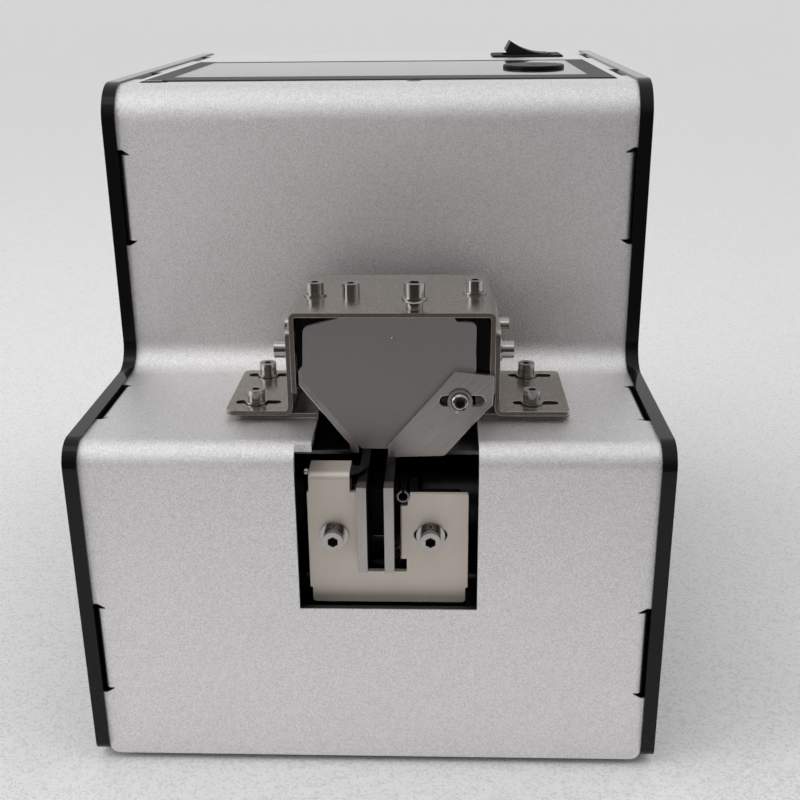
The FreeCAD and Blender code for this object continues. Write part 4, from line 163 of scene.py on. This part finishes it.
def make_drawn_grain():
    """Rolled or brushed metal: streaks, long one way and short the other. Stretch is streaks per metre."""
    shader, given, out = effect(
        "drawn_grain",
        [("Stretch", "Vector", (1, 1, 1)), ("Turn", "Vector", (0, 0, 0)), ("Contrast", "Float", 0.1)],
        ["Shade", "Height"])
    turned = shader.add("Mapping")
    shader.feed(shader.add("TexCoord").outputs["Object"], turned.inputs["Vector"])
    shader.feed(given["Turn"], turned.inputs["Rotation"])
    drawn = shader.add("Mapping")
    shader.feed(turned.outputs[0], drawn.inputs["Vector"])
    shader.feed(given["Stretch"], drawn.inputs["Scale"])
    streaks = shader.noise(drawn.outputs[0], detail=4.0, rough=0.65)
    away = shader.math("SUBTRACT", streaks, 0.5)
    shader.feed(shader.math("MULTIPLY_ADD", away, given["Contrast"], 1.0), out["Shade"])
    shader.feed(streaks, out["Height"])
    return shader.tree


def make_handling():
    """Soft patches left by hands, oil and dust."""
    shader, given, out = effect(
        "handling", [("Patches", "Vector", (40, 40, 40)), ("Amount", "Float", 0.1)], ["Change"])
    spot = shader.place(given["Patches"])
    patches = shader.noise(spot, detail=5.0, rough=0.6)
    away = shader.math("SUBTRACT", patches, 0.5)
    shader.feed(shader.math("MULTIPLY", away, given["Amount"]), out["Change"])
    return shader.tree


BLAST = make_blast_grain()
DRAWN = make_drawn_grain()
HANDLING = make_handling()


def use(shader, group, **values):
    """A shared effect placed in a material with its own values."""
    node = shader.add("Group", node_tree=group)
    for name, value in values.items():
        node.inputs[name].default_value = value
    return node.outputs


def start_material(name, metallic, **fixed):
    """A new material, its Shader and the inputs of its surface; fixed values go on the surface itself."""
    material = bpy.data.materials.new(name)
    material.use_nodes = True
    shader = Shader(material.node_tree)
    surface = material.node_tree.nodes["Principled BSDF"].inputs
    surface["Metallic"].default_value = metallic
    for label, value in fixed.items():
        surface[label.replace("_", " ")].default_value = value
    return material, shader, surface


def tint(shader, surface, colour, shade, spread=0.0, patches=(60, 60, 60)):
    """Base colour, made lighter and darker by a grain's shade and by soft patches."""
    if spread:
        change = use(shader, HANDLING, Patches=patches, Amount=spread)["Change"]
        shade = shader.math("ADD", shade, change)
    scaled = shader.add("VectorMath", operation="SCALE")
    shader.feed(colour, scaled.inputs[0])
    shader.feed(shade, scaled.inputs["Scale"])
    shader.feed(scaled.outputs[0], surface["Base Color"])


def dull(shader, surface, roughness, amount, patches=(45, 45, 45)):
    """Roughness that drifts over the surface."""
    change = use(shader, HANDLING, Patches=patches, Amount=amount)["Change"]
    shader.feed(shader.math("ADD", change, roughness), surface["Roughness"])


def rough_up(shader, surface, height, relief):
    """Relief from a grain's height; relief is its depth in mm."""
    bump = shader.add("Bump")
    bump.inputs["Strength"].default_value = 1.0
    bump.inputs["Distance"].default_value = relief * MM
    shader.feed(height, bump.inputs["Height"])
    shader.feed(bump.outputs[0], surface["Normal"])


def pits_of(size):
    """Pits per metre along each axis, for pits of a size in mm."""
    return (1 / (size * MM),) * 3


def blasted(name, colour, roughness, pit, glint, relief, metallic=1.0, drift=0.06, spread=0.03, **fixed):
    """Grained surface: a pit's size and relief in mm, and how far its crystals stray from the colour."""
    material, shader, surface = start_material(name, metallic, **fixed)
    grain = use(shader, BLAST, Pits=pits_of(pit), Glint=glint)
    tint(shader, surface, colour, grain["Shade"], spread)
    dull(shader, surface, roughness, drift)
    rough_up(shader, surface, grain["Height"], relief)
    return material


def drawn(name, colour, roughness, streak, contrast, relief, turn=(0.0, 0.0, 0.0), metallic=1.0):
    """Streaked metal: a streak's size in mm along X, Y and Z before the turn, its contrast and its relief."""
    material, shader, surface = start_material(name, metallic)
    stretch = tuple(1 / (size * MM) for size in streak)
    grain = use(shader, DRAWN, Stretch=stretch, Turn=turn, Contrast=contrast)
    tint(shader, surface, colour, grain["Shade"], 0.06)
    dull(shader, surface, roughness, 0.08)
    rough_up(shader, surface, grain["Height"], relief)
    return material


def glazed(name, colour, roughness, spread, **fixed):
    """Smooth moulded or printed plastic with a trace of handling."""
    material, shader, surface = start_material(name, 0.0, **fixed)
    tint(shader, surface, colour, 1.0, spread)
    dull(shader, surface, roughness, 0.05)
    return material


def make_board_finish():
    """Green lacquer over copper tracks."""
    material, shader, surface = start_material("solder_mask", 0.0, Coat_Weight=0.5)
    tracks = shader.add("TexBrick")
    shader.feed(shader.place((1, 1, 1)), tracks.inputs["Vector"])
    tracks.inputs["Scale"].default_value = 260.0
    tracks.inputs["Mortar Size"].default_value = 0.03
    tracks.inputs["Color1"].default_value = (0.012, 0.085, 0.03, 1)
    tracks.inputs["Color2"].default_value = (0.016, 0.11, 0.04, 1)
    tracks.inputs["Mortar"].default_value = (0.05, 0.22, 0.09, 1)
    shader.feed(tracks.outputs["Color"], surface["Base Color"])
    dull(shader, surface, 0.35, 0.1)
    return material


def make_winding_finish():
    """Varnished copper wire laid in even turns along Y."""
    material, shader, surface = start_material("copper_wire", 1.0, Coat_Weight=0.4)
    grain = use(shader, DRAWN, Stretch=(200, 3000, 200), Contrast=0.5)
    tint(shader, surface, (0.60, 0.25, 0.11), grain["Shade"])
    dull(shader, surface, 0.3, 0.1)
    return material


def make_pane_finish():
    """Clear acrylic, a little scratched."""
    material, shader, surface = start_material("clear_acrylic", 0.0, Transmission_Weight=1.0, IOR=1.49)
    tint(shader, surface, (0.45, 0.45, 0.455), 1.0, 0.04)
    dull(shader, surface, 0.06, 0.06, patches=(90, 90, 90))
    return material


def make_cover_finish():
    """Bead-blasted aluminium; the front wall's inside and the cut faces under the bracket get painted shade:
    near black and not metallic.
    """
    material, shader, surface = start_material("blasted_aluminium", 1.0)
    grain = use(shader, BLAST, Pits=pits_of(0.28), Glint=0.15)
    # Painted shade: near black where light hardly reaches, inside the front wall and on the cut faces under
    # the ledge.
    wall_inside_shade = shader.where_all(
        shader.along("Y", WALL_FACE + 0.15 * MM, WALL_FACE + 0.3 * MM),
        shader.until("Y", WALL_FACE + 2 * MM, WALL_FACE + 2.2 * MM),
        shader.until("Z", WALL_BEND, WALL_BEND + 0.7 * MM))
    ledge_cut_shade = shader.where_all(
        shader.along("Y", WALL_FACE + 8 * MM, WALL_FACE + 8.2 * MM),
        shader.until("Z", LEDGE - 0.3 * MM, LEDGE - 0.15 * MM),
        shader.along("Z", LEDGE - 6 * MM, LEDGE - 5.8 * MM))
    dark = shader.math("MAXIMUM", wall_inside_shade, ledge_cut_shade)
    colour = shader.blend(dark, (0.90, 0.887, 0.883, 1), (0.012, 0.012, 0.012, 1))
    tint(shader, surface, colour, grain["Shade"], 0.03)
    shader.feed(shader.math("SUBTRACT", 1.0, dark), surface["Metallic"])
    dull(shader, surface, 0.33, 0.05)
    rough_up(shader, surface, grain["Height"], 0.18)
    return material


def make_rail_finish():
    """Hardened rails, ground bright at their front ends; painted shade makes them near black behind, where
    they run into the machine.
    """
    material, shader, surface = start_material("ground_rail", 1.0)
    grain = use(shader, DRAWN, Stretch=(2500, 250, 250), Contrast=0.35)
    # Painted shade: the rails turn near black a little behind their tips.
    behind = shader.along("Y", RAIL_TIP + 2.2 * MM, RAIL_TIP + 3.6 * MM)
    colour = shader.blend(behind, (0.42, 0.405, 0.39, 1), (0.055, 0.050, 0.046, 1))
    tint(shader, surface, colour, grain["Shade"], 0.08)
    dull(shader, surface, 0.30, 0.1)
    rough_up(shader, surface, grain["Height"], 0.008)
    return material


def make_pin_finish():
    """Rolled spring pin, bright on its end; painted shade makes its length dark behind the guide plate's
    face.
    """
    material, shader, surface = start_material("rolled_pin", 1.0)
    grain = use(shader, DRAWN, Stretch=(3000, 300, 3000), Contrast=0.3)
    # Painted shade: dark behind the guide plate's face.
    behind = shader.along("Y", GUIDE_FACE - 0.25 * MM, GUIDE_FACE + 0.2 * MM)
    colour = shader.blend(behind, (0.20, 0.19, 0.18, 1), (0.03, 0.028, 0.026, 1))
    tint(shader, surface, colour, grain["Shade"], 0.05)
    dull(shader, surface, 0.28, 0.08)
    return material


def make_shield_finish():
    """Grey lacquer, with a painted shadow, near black and not metallic, where the sliding guide's screw
    passes.
    """
    material, shader, surface = start_material("shield_lacquer", 0.3)
    grain = use(shader, BLAST, Pits=pits_of(0.6), Glint=0.03)
    soft = 0.3 * MM
    left, right = 14.0 * MM, 24.2 * MM
    bottom, top = 79.3 * MM, 82.0 * MM
    # Painted shadow: near black in the slot where the sliding guide's screw passes.
    slot_shadow = shader.where_all(
        shader.along("X", left, left + soft), shader.until("X", right, right + soft),
        shader.along("Z", bottom, bottom + soft), shader.until("Z", top, top + soft))
    colour = shader.blend(slot_shadow, (0.28, 0.257, 0.257, 1), (0.008, 0.008, 0.008, 1))
    tint(shader, surface, colour, grain["Shade"], 0.03)
    shader.feed(shader.span(slot_shadow, 0.0, 1.0, 0.3, 0.0), surface["Metallic"])
    dull(shader, surface, 0.34, 0.05)
    return material


# One finish for each of the record's material slots, then those of single pieces and of cut edges.
FINISHES = {
    "anodised": make_cover_finish(),
    "black_steel": blasted("black_lacquer", (0.007, 0.007, 0.008), 0.10, 0.4, 0.06, 0.002, 0.0, drift=0.02,
                           Specular_IOR_Level=0.22),
    "nickel": blasted("satin_nickel", (0.40, 0.365, 0.325), 0.22, 0.45, 0.24, 0.012, spread=0.08),
    "bright_steel": drawn("ground_steel", (0.60, 0.58, 0.56), 0.32, (4, 4, 0.3), 0.30, 0.008),
    "zinc_steel": drawn("zinc_plate", (0.55, 0.56, 0.58), 0.38, (2, 2, 2), 0.25, 0.01),
    "screw_steel": blasted("screw_nickel", (0.42, 0.405, 0.39), 0.13, 0.4, 0.06, 0.004),
    "black_screw": blasted("black_oxide", (0.03, 0.03, 0.03), 0.38, 0.4, 0.15, 0.006, 0.6),
    "rubber": blasted("foot_rubber", (0.022, 0.022, 0.022), 0.75, 0.5, 0.12, 0.03, 0.0),
    "black_plastic": blasted("moulded_black", (0.014, 0.014, 0.015), 0.55, 0.4, 0.10, 0.02, 0.0,
                             Specular_IOR_Level=0.15),
    "gloss_black": glazed("polished_black", (0.012, 0.011, 0.011), 0.42, 0.02, Specular_IOR_Level=0.15),
    "grey_plastic": glazed("printed_border", (0.080, 0.072, 0.069), 0.50, 0.03, Specular_IOR_Level=0.1),
    "clear": make_pane_finish(),
    "bronze": drawn("turned_bronze", (0.62, 0.42, 0.22), 0.30, (0.4, 3, 3), 0.2, 0.008),
    "copper": make_winding_finish(),
    "nylon": blasted("nylon_bristle", (0.72, 0.69, 0.60), 0.5, 0.4, 0.15, 0.02, 0.0),
    "board": make_board_finish(),
    "shield_paint": make_shield_finish(),
    "spring": drawn("spring_steel", (0.36, 0.38, 0.42), 0.28, (3, 3, 0.3), 0.25, 0.006),
}
GUIDE_NICKEL = drawn("guide_plate_nickel", (0.76, 0.69, 0.605), 0.45, (0.5, 0.5, 6), 0.16, 0.005,
                     metallic=0.35)
WING_STEEL = drawn("brushed_wing_steel", (0.45, 0.43, 0.415), 0.36, (0.3, 0.3, 8), 0.75, 0.014,
                   turn=(0.0, math.radians(-45), 0.0))
RAIL_STEEL = make_rail_finish()
# A nickel much darker than the bracket's, for the plate under the bracket.
DARK_NICKEL = blasted("dark_nickel", (0.10, 0.092, 0.085), 0.25, 0.4, 0.4, 0.02)
# Painted shade: near black for hex holes, the collar on the bridge and the rail carrier.
SHADE_BLACK = blasted("painted_shade_black", (0.006, 0.006, 0.006), 0.7, 0.4, 0.1, 0.004, 0.0)
SHEARED = drawn("sheared_edge", (0.20, 0.18, 0.16), 0.45, (0.5, 3, 0.25), 1.6, 0.02)
# Painted highlight: a light nickel for the broken edges of some sheets, in place of the light they catch.
HIGHLIGHT_RIM = drawn("rim_highlight_nickel", (0.86, 0.80, 0.73), 0.30, (0.6, 0.6, 0.6), 0.5, 0.006)
POLISHED_EDGE = drawn("polished_edge", (0.72, 0.70, 0.68), 0.25, (3, 3, 3), 0.1, 0.003)
LACQUER_EDGE = blasted("lacquer_edge", (0.30, 0.285, 0.28), 0.30, 0.6, 0.04, 0.004, 0.4)
SPECIAL = {
    "front_guide_plate": GUIDE_NICKEL, "guide_wing_right": WING_STEEL, "guide_wing_left": WING_STEEL,
    "rail_left": RAIL_STEEL, "rail_right": RAIL_STEEL, "roll_pin": make_pin_finish(),
    "bracket_under_plate": DARK_NICKEL, "rail_carrier": SHADE_BLACK, "retainer_leaf": FINISHES["black_screw"],
}


def finish_of(node):
    """A node's own finish, or that of its material slot."""
    return SPECIAL.get(node, FINISHES[SLOT_OF[node]])


# ------------------------------------------------------------------ pieces
MERGE = 0.001 * MM
FLAT = math.radians(0.6)
SHARP = math.radians(32)
EDGE_STEPS = 2
OTHER_EDGE = 0.1
# Hexagon hole and shank of a cap screw, as a share of its head's diameter.
KEY_SHARE = 0.62
# Middle of the top of the bright screw in the cover, and of the collar on the bridge, which is painted shade
# black.
TOP_SCREW = Vector((8.5, -28.8, 140.9)) * MM
COLLAR = Vector((9.3, -71.8, 101.0)) * MM
# A solid is found by the middle of its top, within this distance.
FIND = 0.3 * MM
# How squarely a folded sheet's cut face looks along Y, and how far the under plate's edge is from level.
CUT_FACE = 0.75
STEEP = 0.6
# Sheets folded along Y, and all the sheets whose broken edges get a painted highlight: a bright rim.
FOLDED = ("bridge", "angle_bracket_left", "angle_bracket_right")
HIGHLIGHT_RIMMED = FOLDED + ("bracket_under_plate",)
# The second finish of a node; the black one is painted shade in hex holes and on the collar.
SECOND = {
    "cap_screws": SHADE_BLACK, "bridge_screws": SHADE_BLACK, "cover_screws": FINISHES["screw_steel"],
    "bridge": SHEARED, "angle_bracket_left": SHEARED, "angle_bracket_right": SHEARED,
    "bracket_under_plate": SHEARED, "guide_wing_right": POLISHED_EDGE, "guide_wing_left": POLISHED_EDGE,
    "shield_plate": LACQUER_EDGE,
}
# The width of a node's broken edges in mm; the others have OTHER_EDGE.
EDGE_WIDTH = {
    "cover_shell": 0.15, "side_panel_left": 0.35, "side_panel_right": 0.35, "shield_plate": 0.5,
    "hopper_lid_frame": 0.15, "hopper_lid_pane": 0.12, "rail_left": 0.12, "rail_right": 0.12,
    "guide_wing_right": 0.2, "guide_wing_left": 0.2, "switch_body": 0.15, "power_rocker": 0.25,
    "cap_screws": 0.12, "bridge_screws": 0.12, "front_guide_plate": 0.12, "bridge": 0.25,
    "angle_bracket_left": 0.25, "angle_bracket_right": 0.25, "bracket_under_plate": 0.25,
}


def settle(name, form, node, finish=None, others=()):
    """Turn a bmesh into a piece that rides and is finished as the CAD node is."""
    mesh = bpy.data.meshes.new(name)
    form.to_mesh(mesh)
    form.free()
    mesh.shade_smooth()
    mesh.set_sharp_from_angle(angle=SHARP)
    mesh.materials.append(finish or finish_of(node))
    for other in others:
        mesh.materials.append(other)
    piece = bpy.data.objects.new(name, mesh)
    bpy.context.scene.collection.objects.link(piece)
    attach(piece, BODY_OF[node])
    return piece


def islands(form):
    """The separate solids of a form, each as its list of vertices."""
    waiting = set(form.verts)
    while waiting:
        found = [waiting.pop()]
        for vert in found:
            near = [edge.other_vert(vert) for edge in vert.link_edges]
            fresh = [other for other in near if other in waiting]
            waiting.difference_update(fresh)
            found.extend(fresh)
        yield found


def corners_of(verts):
    """Lowest and highest corner of the box round some vertices."""
    low = Vector([min(vert.co[k] for vert in verts) for k in range(3)])
    high = Vector([max(vert.co[k] for vert in verts) for k in range(3)])
    return low, high


def whole_faces(form, top):
    """Every face of the solid that has the middle of its top at a place."""
    found = []
    for verts in islands(form):
        low, high = corners_of(verts)
        own_top = Vector(((low.x + high.x) / 2, (low.y + high.y) / 2, high.z))
        if (own_top - top).length < FIND:
            found.extend({face for vert in verts for face in vert.link_faces})
    return found


def key_hole_faces(form):
    """Faces inside the hexagon holes of cap screws."""
    inside = []
    for verts in islands(form):
        low, high = corners_of(verts)
        size = high - low
        axis = min(range(3), key=lambda k: abs(size[k - 1] - size[k - 2]))
        reach = size[axis - 1] * KEY_SHARE / 2
        middle = (low + high) / 2
        for face in {face for vert in verts for face in vert.link_faces}:
            away = [vert.co - middle for vert in face.verts]
            for arm in away:
                arm[axis] = 0
            if max(arm.length for arm in away) < reach:
                inside.append(face)
    return inside


def second_faces(node, form, bevelled):
    """The faces of a node that take its second finish."""
    if node == "cover_screws":
        return whole_faces(form, TOP_SCREW)
    if node == "bridge_screws":
        return key_hole_faces(form) + whole_faces(form, COLLAR)
    if node == "cap_screws":
        return key_hole_faces(form)
    if node in FOLDED:
        return [face for face in form.faces if abs(face.normal.y) > CUT_FACE]
    if node == "bracket_under_plate":
        return [face for face in form.faces if abs(face.normal.z) < STEEP]
    return bevelled


def broken_edges(node, width):
    """A merged copy of a CAD node whose sharp edges are broken; it stands for the node."""
    form = bmesh.new()
    form.from_mesh(frame["nodes"][node].data)
    bmesh.ops.remove_doubles(form, verts=form.verts, dist=MERGE)
    bmesh.ops.dissolve_limit(form, angle_limit=FLAT, verts=form.verts, edges=form.edges)
    sharp = [edge for edge in form.edges if edge.is_manifold and edge.calc_face_angle() > SHARP]
    made = bmesh.ops.bevel(form, geom=sharp, offset=width, offset_type="OFFSET", segments=EDGE_STEPS,
                           profile=0.5, affect="EDGES", clamp_overlap=True, material=-1)
    second = SECOND.get(node)
    if second:
        form.normal_update()
        for face in second_faces(node, form, made["faces"]):
            face.material_index = 1
        if node in HIGHLIGHT_RIMMED:
            for face in made["faces"]:
                face.material_index = 2
    piece = settle(node + "_finished", form, node, others=[second, HIGHLIGHT_RIM] if second else [])
    normals = piece.modifiers.new("even_normals", "WEIGHTED_NORMAL")
    normals.keep_sharp = True
    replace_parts(piece, node)


def make_bristles():
    """Rows of nylon bundles, each leaning a little its own way."""
    low, high = (Vector(corner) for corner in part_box("brush_bristles"))
    bundle = 0.9 * MM
    margin = 0.8 * bundle
    columns, rows = 13, 4
    height = high.z - low.z
    pitch_x = (high.x - low.x - 2 * margin) / (columns - 1)
    pitch_y = (high.y - low.y - 2 * margin) / (rows - 1)
    form = bmesh.new()
    for i in range(columns):
        for j in range(rows):
            made = bmesh.ops.create_cone(form, cap_ends=True, segments=8, radius1=bundle * 0.42,
                                         radius2=bundle * 0.5, depth=height)
            middle = Vector((low.x + margin + pitch_x * i, low.y + margin + pitch_y * j, low.z + height / 2))
            bmesh.ops.translate(form, verts=made["verts"], vec=middle)
            tips = [vert for vert in made["verts"] if vert.co.z < middle.z]
            lean = Vector((math.sin(7.3 * i + 3.1 * j), math.cos(5.1 * i + 1.7 * j), 0)) * 0.25
            bmesh.ops.translate(form, verts=tips, vec=lean * bundle)
    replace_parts(settle("brush_bundles", form, "brush_bristles"), "brush_bristles")


def add_ball(name, node, place, radius, segments, rings):
    """Small bright ball set into a node."""
    form = bmesh.new()
    bmesh.ops.create_uvsphere(form, u_segments=segments, v_segments=rings, radius=radius,
                              matrix=Matrix.Translation(place))
    settle(name, form, node, FINISHES["screw_steel"])


for node_name in sorted(frame["nodes"]):
    if node_name != "brush_bristles":
        broken_edges(node_name, EDGE_WIDTH.get(node_name, OTHER_EDGE) * MM)
make_bristles()
ball_spot = (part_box("front_guide_plate")[0][0] - 0.1 * MM, GUIDE_FACE + 0.2 * MM, 68.5 * MM)
dowel_spot = (4.8 * MM, SHIELD_FACE, 94.1 * MM)
add_ball("stop_ball", "front_guide_plate", ball_spot, 0.75 * MM, segments=24, rings=14)
add_ball("shield_dowel", "shield_plate", dowel_spot, 0.32 * MM, segments=16, rings=10)


# ------------------------------------------------------------------ floor, light and camera
def soft_box(name, place, target, size, power):
    """A square-cornered soft lamp that faces a target."""
    lamp = bpy.data.lights.new(name, "AREA")
    lamp.shape = "RECTANGLE"
    lamp.size, lamp.size_y = size
    lamp.energy = power
    item = bpy.data.objects.new(name, lamp)
    item.location = place
    item.rotation_euler = (Vector(target) - Vector(place)).to_track_quat("-Z", "Y").to_euler()
    bpy.context.scene.collection.objects.link(item)


def make_floor():
    """Pale speckled board. The room behind the viewer is darker, and only reflections show that."""
    form = bmesh.new()
    bmesh.ops.create_grid(form, x_segments=1, y_segments=1, size=60.0)
    mesh = bpy.data.meshes.new("floor")
    form.to_mesh(mesh)
    form.free()
    material, shader, surface = start_material("pale_board", 0.0)
    grain = use(shader, BLAST, Pits=(1500, 1500, 1500), Glint=0.14)
    near = shader.along("Y", -0.33, -0.23)
    seen = shader.add("LightPath").outputs["Is Camera Ray"]
    pale = shader.math("MAXIMUM", near, seen)
    board = shader.blend(seen, (0.98, 0.97, 0.97, 1), (0.99, 0.985, 0.99, 1))
    tint(shader, surface, shader.blend(pale, (0.045, 0.034, 0.030, 1), board), grain["Shade"])
    surface["Roughness"].default_value = 0.6
    surface["Specular IOR Level"].default_value = 0.2
    mesh.materials.append(material)
    floor = bpy.data.objects.new("floor", mesh)
    bpy.context.scene.collection.objects.link(floor)


def make_world():
    """Pale studio, darker low down behind the viewer."""
    world = bpy.data.worlds.new("studio")
    bpy.context.scene.world = world
    world.use_nodes = True
    shader = Shader(world.node_tree)
    parts = shader.add("SeparateXYZ")
    shader.feed(shader.add("TexCoord").outputs["Generated"], parts.inputs[0])
    up = shader.span(parts.outputs["Z"], 0.2, 0.95)
    behind = shader.span(parts.outputs["Y"], -0.15, -0.75)
    low = shader.math("SUBTRACT", 1.0, up)
    shadow = shader.math("MULTIPLY", behind, low)
    colour = shader.blend(shadow, (0.78, 0.78, 0.79, 1), (0.07, 0.065, 0.062, 1))
    ground = world.node_tree.nodes["Background"]
    shader.feed(colour, ground.inputs["Color"])
    ground.inputs["Strength"].default_value = 0.95


def make_camera():
    """Stands low in front, a little to the right, and looks down on the machine."""
    place = Vector((14.41, -292.47, 161.52)) * MM
    pitch, yaw, roll = 0.3567, -0.0375, -0.0106
    ahead = Vector((math.sin(yaw) * math.cos(pitch), math.cos(yaw) * math.cos(pitch), -math.sin(pitch)))
    level = Vector((math.cos(yaw), -math.sin(yaw), 0))
    upright = level.cross(ahead)
    right = level * math.cos(roll) + upright * math.sin(roll)
    above = upright * math.cos(roll) - level * math.sin(roll)
    turn = Matrix((right, above, -ahead)).transposed()
    data = bpy.data.cameras.new("camera")
    data.sensor_width = 36.0
    data.lens = 50.19
    data.clip_start = 0.01
    camera = bpy.data.objects.new("camera", data)
    camera.matrix_world = Matrix.Translation(place) @ turn.to_4x4()
    bpy.context.scene.collection.objects.link(camera)
    bpy.context.scene.camera = camera


make_floor()
make_world()
make_camera()
soft_box("overhead", (-0.2, -0.32, 0.70), (0, 0, 0.08), (0.7, 0.26), 0.5)
soft_box("left_fill", (-0.8, -0.35, 0.35), (0, 0, 0.07), (0.5, 0.5), 1.5)
bpy.context.scene.view_settings.view_transform = "Standard"
